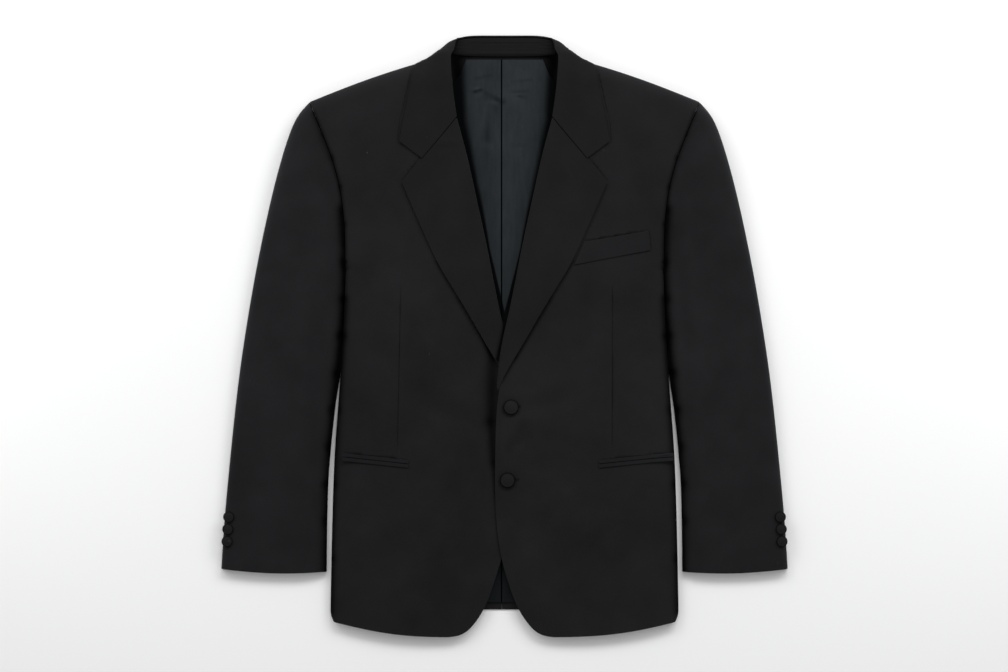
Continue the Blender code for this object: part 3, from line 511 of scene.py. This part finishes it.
# Back lining
# Two halves of dark blue-green satin, sewn together down the middle with a pleat for ease and lying loosely
# on the inside of the back. Fine wrinkles gather below the neck, where the collar seam catches the cloth.
def satin_group():
    """Satin of a lining, with its centre seam as one mask and, as another, painted shade where the lining
    runs in under the fronts.
    """
    tree, _, put = shader_group("satin_weave", [], [
        ("Tone", "NodeSocketFloat"), ("Gloss", "NodeSocketFloat"), ("Seam", "NodeSocketFloat"),
        ("Painted shade under fronts", "NodeSocketFloat"), ("Normal", "NodeSocketVector")])
    place = node(tree, "ShaderNodeTexCoord").outputs["Object"]
    weft = bands(tree, place, angle=1, pitch=0.0006, waver=1.4)
    slub = noise(tree, place, scale=420.0, detail=3.0)
    long_way = node(tree, "ShaderNodeMapping", {"Scale": (1.0, 0.20, 1.0)})
    tree.links.new(place, long_way.inputs["Vector"])
    streaks = noise(tree, long_way.outputs[0], scale=190.0, detail=4.0, roughness=0.65)
    cloudy = noise(tree, place, scale=24.0, detail=3.0)
    fine = node(tree, "ShaderNodeBump", {"Strength": 0.5, "Distance": 0.00006})
    tree.links.new(weighted(tree, (weft, 0.5), (slub, 0.5)), fine.inputs["Height"])
    crinkle = noise(tree, long_way.outputs[0], scale=46.0, detail=4.0, roughness=0.55)
    soft = node(tree, "ShaderNodeBump", {"Strength": 0.55, "Distance": 0.0016})
    tree.links.new(crinkle, soft.inputs["Height"])
    tree.links.new(fine.outputs[0], soft.inputs["Normal"])
    tone = weighted(tree, (streaks, 0.5), (cloudy, 0.5), clamp=True)
    position = node(tree, "ShaderNodeSeparateXYZ")
    tree.links.new(place, position.inputs[0])
    x, y = position.outputs["X"], position.outputs["Y"]
    seam_x = -0.0040
    off = math_node(tree, "ABSOLUTE", math_node(tree, "SUBTRACT", x, seam_x))
    seam = ranged(tree, off, (1.0, 0.0), start=(0.0008, 0.0012))
    # Painted shade where the lining runs in beside and below the two fronts, with a ragged edge, weaker low
    # down.
    right_share = 1.07
    v_foot_y, v_slope = 0.024, 0.242
    neck_y, neck_slope = -0.520, 0.080
    x_off = math_node(tree, "MAXIMUM", x, math_node(tree, "MULTIPLY", x, -right_share))
    low_edge = math_node(tree, "MULTIPLY", math_node(tree, "SUBTRACT", y, v_foot_y), v_slope)
    high_edge = math_node(tree, "MULTIPLY", math_node(tree, "SUBTRACT", y, neck_y), neck_slope)
    front_edge = math_node(tree, "MINIMUM", low_edge, high_edge)
    inside = math_node(tree, "SUBTRACT", front_edge, x_off)
    ragged_width = 0.006
    ragged = math_node(tree, "ADD", noise(tree, long_way.outputs[0], scale=40.0), -0.5)
    inside = math_node(tree, "ADD", inside, math_node(tree, "MULTIPLY", ragged, ragged_width))
    reach = ranged(tree, y, (0.0034, 0.0215), start=(0.12, 0.36))
    share = math_node(tree, "DIVIDE", inside, reach)
    painted_shade_under_fronts = ranged(tree, share, (1.0, 0.0), start=(0.15, 1.0), interpolation_type="SMOOTHERSTEP")
    hem_part = ranged(tree, y, (0.62, 0.93), start=(-0.05, 0.05))
    tree.links.new(math_node(tree, "MULTIPLY", painted_shade_under_fronts, hem_part), put.inputs["Painted shade under fronts"])
    tree.links.new(seam, put.inputs["Seam"])
    tree.links.new(tone, put.inputs["Tone"])
    tree.links.new(streaks, put.inputs["Gloss"])
    tree.links.new(soft.outputs[0], put.inputs["Normal"])
    return tree


def satin(name, dark, light):
    finish = bpy.data.materials.new(name)
    finish.use_nodes = True
    tree = finish.node_tree
    shader = tree.nodes["Principled BSDF"]
    weave = group_node(tree, satin_group())
    painted_shade = group_node(tree, PAINTED_SHADE).outputs["Mask"]
    # The centre seam is darkened to near black, and so is painted shade, which also takes away the specular.
    seam_and_painted_shade = math_node(tree, "MAXIMUM", weave.outputs["Seam"], painted_shade)
    seam_and_painted_shade = math_node(tree, "MAXIMUM", weave.outputs["Painted shade under fronts"], seam_and_painted_shade)
    colour = mixed(tree, weave.outputs["Tone"], dark, light)
    colour = mixed(tree, seam_and_painted_shade, colour, (0.0006, 0.0008, 0.0009))
    rough = ranged(tree, weave.outputs["Gloss"], (0.34, 0.50))
    tree.links.new(colour, shader.inputs["Base Color"])
    tree.links.new(rough, shader.inputs["Roughness"])
    tree.links.new(ranged(tree, seam_and_painted_shade, (0.16, 0.0)), shader.inputs["Specular IOR Level"])
    tree.links.new(weave.outputs["Normal"], shader.inputs["Normal"])
    shader.inputs["Anisotropic"].default_value = 0.5
    shader.inputs["Sheen Weight"].default_value = 0.03
    return finish


LINING = satin("back_lining_satin", (0.0034, 0.0046, 0.0055), (0.0222, 0.0285, 0.0325))
lining_folds = back_folds + (
    (-0.0300, 0.3240, 24, 0.022, 0.0026, 0.0004, 0.5),
    (-0.0150, 0.3180, -14, 0.020, 0.0032, -0.0004, 0.0),
    (-0.0120, 0.3140, -8, 0.022, 0.0034, 0.0004, 0.3),
    (-0.0375, 0.3330, 30, 0.014, 0.0016, 0.0012, 0.4),
    (-0.0040, 0.3150, 0, 0.010, 0.0040, -0.0007, 0.0),
    (0.0120, 0.3420, 4, 0.030, 0.0038, 0.0004, 0.3),
    (0.0160, 0.3290, -8, 0.024, 0.0026, -0.0004, 0.0),
    (0.0210, 0.3230, 14, 0.012, 0.0022, -0.0006, 0.0),
    (0.0200, 0.2560, -30, 0.012, 0.0020, -0.0006, 0.0),
    (-0.0420, 0.3400, 80, 0.060, 0.0050, -0.0012, 0.0),
    (-0.0380, 0.2850, 84, 0.110, 0.0055, 0.0017, 0.3),
    (-0.0280, 0.2900, 80, 0.070, 0.0036, -0.0012, 0.0),
    (-0.0180, 0.2600, 96, 0.130, 0.0060, 0.0013, 0.0),
    (0.0150, 0.2750, 86, 0.140, 0.0060, 0.0006, 0.2),
    (0.0330, 0.2650, 97, 0.120, 0.0050, 0.0009, 0.3),
    (0.0440, 0.3000, 90, 0.080, 0.0050, 0.0008, 0.0),
    (-0.0032, 0.1500, 90, 0.900, 0.0016, -0.0005, 0.0),
    (-0.0100, -0.3600, 84, 0.050, 0.0060, 0.0008, 0.0),
)
lap_from_x = -0.0018
lap_width = 0.0014
lap_by = 0.0010
lap_lift = 0.0008
linings = []
for hand, area in (("left", 0.126), ("right", 0.121)):
    lining = soft_copy("back_lining_" + hand, 4, folds=lining_folds, edge=0.00025)
    if hand == "left":
        for v in lining.data.vertices:
            over_seam = min(1.0, max(0.0, (lap_from_x - v.co.x) / lap_width))
            v.co.x -= lap_by * over_seam
            v.co.z += lap_lift * over_seam
    # Painted shade in the wrinkles below the neck and beside the lapels.
    paint_shade(lining, [
        (-0.0260, 0.3285, -0.0080, 0.3195, 0.0030, 0.30),
        (-0.0070, 0.3180, -0.0040, 0.3150, 0.0032, 0.62), (-0.0130, 0.3085, -0.0250, 0.2650, 0.0040, 0.42),
        (-0.0270, 0.2500, -0.0300, 0.1850, 0.0038, 0.32), (-0.0420, 0.3290, -0.0320, 0.3330, 0.0016, 0.60),
        (-0.0390, 0.3480, -0.0200, 0.3520, 0.0024, 0.22), (-0.0100, 0.2450, -0.0120, 0.1500, 0.0030, 0.18),
        (0.0220, 0.3240, 0.0260, 0.3210, 0.0025, 0.45), (0.0200, 0.2570, 0.0230, 0.2550, 0.0020, 0.45),
        (0.0100, 0.3440, 0.0350, 0.3460, 0.0022, 0.22), (0.0100, 0.3290, 0.0300, 0.3310, 0.0020, 0.20),
    ])
    settle(lining, LINING, ["back_lining_" + hand])
    linings.append(lining)


# Sleeves
# Each is two pieces of black wool, a top sleeve and an under sleeve that meet in the fold at each edge. The
# top one is eased into the armhole over a sleeve head, so it swells at the shoulder, and its hem is pressed.
SLEEVE_WOOL = wool("sleeve_wool", (0.0036, 0.0037, 0.0041), (0.0144, 0.0145, 0.0158))
top_folds = (
    (0.286, 0.205, 98, 0.150, 0.018, 0.0016, 0.2),
    (0.256, 0.160, 92, 0.170, 0.010, -0.0013, 0.3),
    (0.312, 0.110, 104, 0.180, 0.014, 0.0011, -0.2),
    (0.276, 0.040, 96, 0.190, 0.013, -0.0013, -0.2),
    (0.300, -0.020, 60, 0.100, 0.012, 0.0012, 0.4),
    (0.272, -0.055, 66, 0.090, 0.010, -0.0011, -0.4),
    (0.322, -0.110, 93, 0.200, 0.014, 0.0012, 0.2),
    (0.282, -0.160, 88, 0.190, 0.013, -0.0012, 0.2),
    (0.306, -0.240, 95, 0.120, 0.012, 0.0009, 0.0),
    (0.262, -0.235, 84, 0.130, 0.009, 0.0009, 0.0),
    (0.2430, -0.160, 90, 0.560, 0.0125, -0.0056, 0.0),
    (0.2300, 0.080, 97, 0.260, 0.0125, -0.0050, 0.0),
    (0.2330, 0.178, 83, 0.190, 0.0120, -0.0052, 0.0),
    (0.2530, 0.262, 67, 0.140, 0.0110, -0.0042, 0.0),
)
under_folds = (
    (0.290, 0.120, 96, 0.200, 0.013, 0.0008, 0.0),
    (0.300, -0.120, 90, 0.230, 0.014, 0.0008, 0.2),
    (0.270, -0.010, 70, 0.110, 0.011, 0.0007, 0.0),
)
inside_way = (
    (0.2188, 0.170), (0.2146, 0.100), (0.2165, 0.050), (0.2203, 0.0), (0.2251, -0.050),
    (0.2308, -0.100), (0.2352, -0.150), (0.2383, -0.200), (0.2397, -0.250), (0.2403, -0.325),
)
head_way = ((0.2567, 0.300), (0.2443, 0.270), (0.2329, 0.240), (0.2219, 0.200), (0.2188, 0.170))


def lean_in(piece, side):
    """Brings the inner edge of a sleeve up to the body, down to where the photographed gap opens."""
    lean_ys = (-0.190, -0.130, -0.090, -0.048, -0.020, 0.060, 0.090, 0.130)
    lean_by = (0.0, 0.0010, 0.0017, 0.0034, 0.0027, 0.0008, 0.0007, 0.0)
    lean_width = 0.030
    edge_xs, edge_ys = zip(*reversed(inside_way))
    for v in piece.data.vertices:
        level = float(np.interp(v.co.y, lean_ys, lean_by))
        edge = float(np.interp(v.co.y, edge_ys, edge_xs))
        share = min(1.0, max(0.0, 1 - (side * v.co.x - edge) / lean_width))
        v.co.x -= side * level * share


for hand, side in (("left", 1), ("right", -1)):
    folds = top_folds if side > 0 else mirrored(tuple(
        (x + 0.004 * math.sin(9 * k), y - 0.012 * math.cos(5 * k), angle, length, width, depth, lean)
        for k, (x, y, angle, length, width, depth, lean) in enumerate(top_folds)))
    sleeve = soft_copy("top_sleeve_" + hand, 3, folds=folds, rim=0.0058)
    lean_in(sleeve, side)
    # Painted shade along the inner fold beside the body and along the sleeve head.
    paint_shade(sleeve, along(inside_way, 0.0075, 0.90, side) + along(head_way, 0.0030, 0.55, side))
    settle(sleeve, SLEEVE_WOOL, ["top_sleeve_" + hand])
    under = soft_copy("under_sleeve_" + hand, 2, folds=under_folds if side > 0 else mirrored(under_folds))
    lean_in(under, side)
    settle(under, SLEEVE_WOOL, ["under_sleeve_" + hand])


# Collar and its stand
# The stand is a band of black wool inside the back neck, held by rows of fine stitches, and the fall turns
# over it, runs round behind the neck and comes forward to the two notches. Both are pressed over canvas.
FACING_WOOL = wool("facing_wool", (0.0029, 0.0028, 0.0029), (0.0112, 0.0110, 0.0111), 0.90, 0.05)
stand = soft_copy("collar_stand", 3, edge=0.0003)
# Painted shade at both ends of the stand, along its foot and in fine lines along it.
paint_shade(stand, [
    (-0.0670, 0.4030, -0.0720, 0.3750, 0.0060, 0.75), (0.0670, 0.4030, 0.0720, 0.3750, 0.0060, 0.75),
    (-0.0640, 0.3795, 0.0640, 0.3795, 0.0022, 0.55), (-0.0660, 0.3965, 0.0660, 0.3965, 0.0007, 0.35),
    (-0.0680, 0.3925, 0.0680, 0.3925, 0.0007, 0.35), (-0.0690, 0.3880, 0.0690, 0.3880, 0.0007, 0.35),
])
settle(stand, FACING_WOOL, ["collar_stand"])
collar = soft_copy("collar", 3, folds=(
    (-0.108, 0.300, 84, 0.070, 0.010, 0.0007, 0.2),
    (0.110, 0.296, 97, 0.080, 0.010, 0.0007, -0.2),
))
edge_ys = (0.3620, 0.3660, 0.3700, 0.3740, 0.3780, 0.3820, 0.3860, 0.3900, 0.3940, 0.3980)
edge_xs = (0.1225, 0.1235, 0.1205, 0.1167, 0.1114, 0.1052, 0.0974, 0.0892, 0.0822, 0.0760)
pulled = (0.0000, 0.0010, 0.0075, 0.0115, 0.0125, 0.0115, 0.0090, 0.0050, 0.0022, 0.0000)
pulled_width = 0.040
for v in collar.data.vertices:
    reach = abs(v.co.x)
    share = min(1.0, max(0.0, 1 - (float(np.interp(v.co.y, edge_ys, edge_xs)) - reach) / pulled_width))
    v.co.x -= math.copysign(float(np.interp(v.co.y, edge_ys, pulled)) * share, v.co.x)
settle(collar, FACING_WOOL, ["collar"])


# Lapels
# The wool facings of the two fronts, turned back over a canvas along a soft roll without a hard crease. Each
# meets the collar in a sewn gorge, and the notch between them is open.
def taper_foot(piece, edge_x, from_y, foot_y, further):
    """Draws the foot of a lapel out along the front edge to a thin point."""
    narrowed_share = 0.80
    sunk = 0.0006
    for v in piece.data.vertices:
        share = min(1.0, max(0.0, (from_y - v.co.y) / (from_y - foot_y)))
        v.co.y -= further * share * share
        over_edge = v.co.x - edge_x
        if over_edge > 0:
            v.co.x = edge_x + over_edge * (1 - narrowed_share * share ** 3)
        v.co.z -= sunk * share ** 3


for hand in ("right", "left"):
    folds = (
        (-0.0780, 0.2530, 7, 0.052, 0.0036, -0.0009, 0.3),
        (-0.0800, 0.2590, 10, 0.044, 0.0040, 0.0007, 0.0),
        (-0.0620, 0.1500, 62, 0.100, 0.0120, 0.0006, 0.0),
    ) if hand == "right" else (
        (0.0900, 0.2180, 112, 0.048, 0.0040, -0.0007, 0.3),
        (0.0820, 0.2240, 104, 0.042, 0.0042, 0.0006, 0.0),
        (0.0560, 0.1300, 118, 0.090, 0.0120, 0.0006, 0.0),
    )
    lapel = soft_copy("lapel_" + hand, 3, folds=folds)
    if hand == "left":
        taper_foot(lapel, edge_x=-0.0120, from_y=0.020, foot_y=-0.0560, further=0.022)
    else:
        # Painted shade at the foot of the right lapel, where the left front laps over it.
        paint_shade(lapel, [(0.0010, 0.0160, -0.0095, -0.0320, 0.0032, 0.92)])
    settle(lapel, FACING_WOOL, ["lapel_" + hand])


# Pockets
# A welt set slanting on the wearer's left breast, and two jets with a dark mouth between them at each hip.
# All are folded strips of the body wool, and the mouths run on to the side folds.
POCKET_WOOL = wool("pocket_wool", (0.0033, 0.0034, 0.0038), (0.0128, 0.0130, 0.0141))
welt = soft_copy("chest_welt", 2, edge=0.0003)
settle(welt, POCKET_WOOL, ["chest_welt"])
parted_by = 0.0004
jet_held_x = 0.2000
jet_built = 0.0190
jet_shown = 0.0285
for hand in ("left", "right"):
    over = on_top([front_left if hand == "left" else front_right])
    for lip in ("upper", "lower"):
        name = "pocket_jet_" + lip + "_" + hand
        jet = soft_copy(name, 2, edge=0.0003)
        for v in jet.data.vertices:
            v.co.y += parted_by if lip == "upper" else -parted_by
            if v.co.x > jet_held_x:
                further = jet_held_x + (v.co.x - jet_held_x) * jet_shown / jet_built
                before, after = over(v.co.x, v.co.y), over(further, v.co.y)
                v.co.x = further
                if before and after:
                    v.co.z += after[0].z - before[0].z
        settle(jet, POCKET_WOOL, [name])


# Buttonholes and stitches
# Each hole in the left front is a slit with worked silk edges, half under its button. Rows of fine silk
# stitches hold the collar stand, and small felling stitches join the lining to it.
SILK = bpy.data.materials.new("silk_thread")
SILK.use_nodes = True
silk_shader = SILK.node_tree.nodes["Principled BSDF"]
silk_place = node(SILK.node_tree, "ShaderNodeTexCoord").outputs["Object"]
silk_fibres = noise(SILK.node_tree, silk_place, scale=900.0, detail=2.0)
silk_tone = mixed(SILK.node_tree, silk_fibres, (0.0030, 0.0031, 0.0034), (0.0095, 0.0096, 0.0102))
SILK.node_tree.links.new(silk_tone, silk_shader.inputs["Base Color"])
silk_shader.inputs["Roughness"].default_value = 0.65
silk_shader.inputs["Specular IOR Level"].default_value = 0.12


def stitch_nodes():
    tree = bpy.data.node_groups.new("stitches", "GeometryNodeTree")
    tree.interface.new_socket("Geometry", in_out="INPUT", socket_type="NodeSocketGeometry")
    for label, value in (("Pitch", 0.002), ("Stitch length", 0.0015), ("Thread radius", 0.00015)):
        tree.interface.new_socket(label, in_out="INPUT", socket_type="NodeSocketFloat").default_value = value
    tree.interface.new_socket("Thread", in_out="INPUT", socket_type="NodeSocketMaterial")
    tree.interface.new_socket("Geometry", in_out="OUTPUT", socket_type="NodeSocketGeometry")
    given, put = tree.nodes.new("NodeGroupInput"), tree.nodes.new("NodeGroupOutput")
    line = tree.nodes.new("GeometryNodeMeshToCurve")
    spaced = tree.nodes.new("GeometryNodeResampleCurve")
    spaced.mode = "LENGTH"
    ball = tree.nodes.new("GeometryNodeMeshUVSphere")
    ball.inputs["Segments"].default_value = 6
    ball.inputs["Rings"].default_value = 6
    ball.inputs["Radius"].default_value = 1.0
    size = tree.nodes.new("ShaderNodeCombineXYZ")
    half = tree.nodes.new("ShaderNodeMath")
    half.operation = "MULTIPLY"
    half.inputs[1].default_value = 0.5
    uneven = tree.nodes.new("FunctionNodeRandomValue")
    uneven.data_type = "FLOAT_VECTOR"
    uneven.inputs["Min"].default_value = (0.86, 0.85, 0.85)
    uneven.inputs["Max"].default_value = (1.08, 1.10, 1.10)
    uneven.inputs["Seed"].default_value = 11
    varied = tree.nodes.new("ShaderNodeVectorMath")
    varied.operation = "MULTIPLY"
    way = tree.nodes.new("GeometryNodeInputTangent")
    turned = tree.nodes.new("FunctionNodeAlignRotationToVector")
    turned.axis = "X"
    placed = tree.nodes.new("GeometryNodeInstanceOnPoints")
    real = tree.nodes.new("GeometryNodeRealizeInstances")
    dyed = tree.nodes.new("GeometryNodeSetMaterial")
    link = tree.links.new
    link(given.outputs["Geometry"], line.inputs["Mesh"])
    link(line.outputs["Curve"], spaced.inputs["Curve"])
    link(given.outputs["Pitch"], spaced.inputs["Length"])
    link(given.outputs["Stitch length"], half.inputs[0])
    link(half.outputs[0], size.inputs["X"])
    link(given.outputs["Thread radius"], size.inputs["Y"])
    link(given.outputs["Thread radius"], size.inputs["Z"])
    link(size.outputs[0], varied.inputs[0])
    link(uneven.outputs["Value"], varied.inputs[1])
    link(way.outputs["Tangent"], turned.inputs["Vector"])
    link(spaced.outputs["Curve"], placed.inputs["Points"])
    link(ball.outputs["Mesh"], placed.inputs["Instance"])
    link(turned.outputs["Rotation"], placed.inputs["Rotation"])
    link(varied.outputs[0], placed.inputs["Scale"])
    link(placed.outputs["Instances"], real.inputs["Geometry"])
    link(real.outputs["Geometry"], dyed.inputs["Geometry"])
    link(given.outputs["Thread"], dyed.inputs["Material"])
    link(dyed.outputs["Geometry"], put.inputs["Geometry"])
    return tree


STITCHES = stitch_nodes()


def stitches(name, paths, pitch, length, radius):
    """Rows of stitches along those paths, each a list of points."""
    mesh = bpy.data.meshes.new(name)
    points, edges = [], []
    for path in paths:
        first = len(points)
        points += path
        edges += [(first + k, first + k + 1) for k in range(len(path) - 1)]
    mesh.from_pydata(points, edges, [])
    row = bpy.data.objects.new(name, mesh)
    bpy.context.scene.collection.objects.link(row)
    sewn = row.modifiers.new("sewn", "NODES")
    sewn.node_group = STITCHES
    chosen = {"Pitch": pitch, "Stitch length": length, "Thread radius": radius, "Thread": SILK}
    for item in STITCHES.interface.items_tree:
        if item.in_out == "INPUT" and item.name in chosen:
            sewn[item.identifier] = chosen[item.name]
    made = bpy.data.meshes.new_from_object(row.evaluated_get(bpy.context.evaluated_depsgraph_get()))
    row.modifiers.clear()
    row.data = made
    bpy.data.meshes.remove(mesh)
    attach(row, "root")


def spread(reach, count):
    """That many places from -reach to reach."""
    return [-reach + 2 * reach * k / (count - 1) for k in range(count)]


def sewn_row(over, places, lift):
    """The points of a row on the cloth below those places, raised a little along its normal."""
    hits = [over(x, y) for x, y in places]
    return [tuple(hit[0] + hit[1] * lift) for hit in hits if hit]


stand_reach = 0.062
corner_drop = 9.0
fewest_points = 9
over_stand = on_top([stand])
stand_rows = []
for y in (0.4003, 0.3955, 0.3905, 0.3860):
    places = [(x, y - corner_drop * x * x * x * x / stand_reach) for x in spread(stand_reach, 61)]
    row = sewn_row(over_stand, places, 0.00005)
    if len(row) >= fewest_points:
        stand_rows.append(row)
stitches("stand_stitches", stand_rows, 0.0033, 0.0027, 0.00032)
fell_y = 0.3752
fell_bend = 0.9
fell = sewn_row(on_top(linings), [(x, fell_y - fell_bend * x * x) for x in spread(0.056, 57)], 0.0002)
stitches("felling_stitches", [fell], 0.0036, 0.0013, 0.00016)

over_front = on_top([front_left])
before_middle = 0.002
hole_reach = {"upper": 0.0112, "lower": 0.0142}
above_middle = 0.0010
slit_half = 0.00025
worked_half = 0.0015
rung_pitch = 0.00062
eye_near, eye_far = 0.0003, 0.0017
on_cloth = Vector((0, 0, 0.00012))
for name, reach in hole_reach.items():
    low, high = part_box("front_button_" + name)
    middle = (low + high) / 2
    start, end = middle.x - before_middle, middle.x + reach
    y = middle.y + above_middle
    rungs = []
    for k in range(int((end - start) / rung_pitch) + 1):
        x = start + rung_pitch * k
        for side in (-1, 1):
            rungs.append((over_front(x, y + side * slit_half), over_front(x, y + side * worked_half)))
    for k in range(7):
        turn = math.radians(-78 + 26 * k)
        rungs.append((over_front(end + eye_near * math.cos(turn), y + eye_near * math.sin(turn)),
                      over_front(end + eye_far * math.cos(turn), y + eye_far * math.sin(turn))))
    paths = [[tuple(a[0] + on_cloth), tuple(b[0] + on_cloth)] for a, b in rungs if a and b]
    stitches("buttonhole_" + name, paths, rung_pitch, 0.00085, 0.00028)


# Buttons
# Flat moulds covered with the jacket's own wool, drawn tight over a rounded rim, with a low dome. The two
# front ones are sewn to the right front, and three smaller ones stand edge to edge on each cuff.
BUTTON_WOOL = wool("button_wool", (0.0028, 0.0028, 0.0030), (0.0110, 0.0110, 0.0116), 0.84, 0.04)
PROFILE = (
    (0.00, 0.02), (0.62, 0.02), (0.86, 0.06), (0.965, 0.18), (1.00, 0.36), (0.985, 0.54), (0.93, 0.68),
    (0.86, 0.745), (0.79, 0.760), (0.73, 0.765), (0.64, 0.800), (0.50, 0.880), (0.30, 0.965), (0.12, 0.995),
    (0.00, 1.00),
)


def covered_button(name, lumps):
    """A covered mould in place of that node, with painted shade darkening its rim."""
    gathered_by = 0.006
    dark_from, dark_over, darkest = 0.84, 0.10, 0.88
    low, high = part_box(name)
    middle = (low + high) / 2
    radius = (high.x - low.x) / 2
    tall = high.z - low.z
    turns = 64
    mesh = bpy.data.meshes.new(name + "_cover")
    points, faces = [(middle.x, middle.y, low.z + PROFILE[0][1] * tall)], []
    rings = PROFILE[1:-1]
    for share, rise in rings:
        for k in range(turns):
            turn = 2 * math.pi * k / turns
            gather = 1 + gathered_by * math.sin(lumps * turn) * (1 if rise < 0.6 else 0.2)
            points.append((middle.x + radius * share * gather * math.cos(turn),
                           middle.y + radius * share * gather * math.sin(turn),
                           low.z + tall * rise))
    points.append((middle.x, middle.y, high.z))
    last = len(points) - 1
    # Painted shade on the outer rings of the rim.
    rim_shade = [0.0]
    for share, _ in rings:
        rim_shade += [max(0.0, min(1.0, (share - dark_from) / dark_over)) * darkest] * turns
    rim_shade.append(0.0)
    for k in range(turns):
        after = (k + 1) % turns
        faces.append((0, 1 + after, 1 + k))
        for ring in range(len(rings) - 1):
            a, b = 1 + ring * turns, 1 + (ring + 1) * turns
            faces.append((a + k, a + after, b + after, b + k))
        top = 1 + (len(rings) - 1) * turns
        faces.append((top + k, top + after, last))
    mesh.from_pydata(points, [], faces)
    for face in mesh.polygons:
        face.use_smooth = True
    mesh.materials.append(BUTTON_WOOL)
    painted = mesh.attributes.new("painted_shade", "FLOAT", "POINT")
    painted.data.foreach_set("value", rim_shade)
    made = bpy.data.objects.new(name + "_cover", mesh)
    bpy.context.scene.collection.objects.link(made)
    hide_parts(name)
    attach(made, "root")


for number, name in enumerate(["front_button_upper", "front_button_lower"]
                              + ["cuff_button_left_%d" % k for k in (1, 2, 3)]
                              + ["cuff_button_right_%d" % k for k in (1, 2, 3)]):
    covered_button(name, 17 + number % 4)


# Floor, light and camera
# A plain pale surface, lit by three large soft lamps beyond the collar and a weak one low at each side, with
# the camera straight above the jacket.
floor_mesh = bpy.data.meshes.new("floor")
floor_mesh.from_pydata([(-6, -6, 0), (6, -6, 0), (6, 6, 0), (-6, 6, 0)], [], [(0, 1, 2, 3)])
floor = bpy.data.objects.new("floor", floor_mesh)
bpy.context.scene.collection.objects.link(floor)
paper = bpy.data.materials.new("pale_surface")
paper.use_nodes = True
paper_shader = paper.node_tree.nodes["Principled BSDF"]
paper_place = node(paper.node_tree, "ShaderNodeTexCoord").outputs["Object"]
grain = noise(paper.node_tree, paper_place, scale=3.0, detail=2.0)
paper_tone = mixed(paper.node_tree, grain, (0.90, 0.90, 0.90), (0.92, 0.92, 0.92))
paper.node_tree.links.new(paper_tone, paper_shader.inputs["Base Color"])
paper_shader.inputs["Roughness"].default_value = 0.9
paper_shader.inputs["Specular IOR Level"].default_value = 0.1
floor_mesh.materials.append(paper)


def lamp(name, place, target, size, power, colour=(1.0, 1.0, 1.0)):
    data = bpy.data.lights.new(name, "AREA")
    data.shape = "RECTANGLE"
    data.size, data.size_y = size
    data.energy = power
    data.color = colour
    lit = bpy.data.objects.new(name, data)
    bpy.context.scene.collection.objects.link(lit)
    lit.location = place
    lit.rotation_euler = (Vector(target) - Vector(place)).to_track_quat("-Z", "Y").to_euler()


lamp("key_left", (-1.5, 1.7, 1.5), (0.0, -0.05, 0.0), (1.3, 1.0), 21.5)
lamp("key_right", (1.5, 1.7, 1.5), (0.0, -0.05, 0.0), (1.3, 1.0), 27.0)
lamp("key_middle", (0.2, 2.2, 1.9), (0.0, -0.05, 0.0), (1.0, 0.8), 24.0)
lamp("side_left", (-1.05, 0.10, 0.24), (-0.30, 0.0, 0.0), (0.22, 1.5), 2.2, (0.96, 0.98, 1.0))
lamp("side_right", (1.05, 0.10, 0.24), (0.30, 0.0, 0.0), (0.22, 1.5), 1.8, (0.96, 0.98, 1.0))
world = bpy.data.worlds.new("studio")
bpy.context.scene.world = world
world.use_nodes = True
world.node_tree.nodes["Background"].inputs["Color"].default_value = (1.0, 1.0, 1.0, 1.0)
world.node_tree.nodes["Background"].inputs["Strength"].default_value = 0.46
bpy.context.scene.view_settings.view_transform = "Standard"

camera_data = bpy.data.cameras.new("camera")
camera = bpy.data.objects.new("camera", camera_data)
bpy.context.scene.collection.objects.link(camera)
camera_data.lens = 95.24
camera_data.sensor_width = 36.0
camera.location = (-0.0007, 0.0, 3.61)
bpy.context.scene.camera = camera
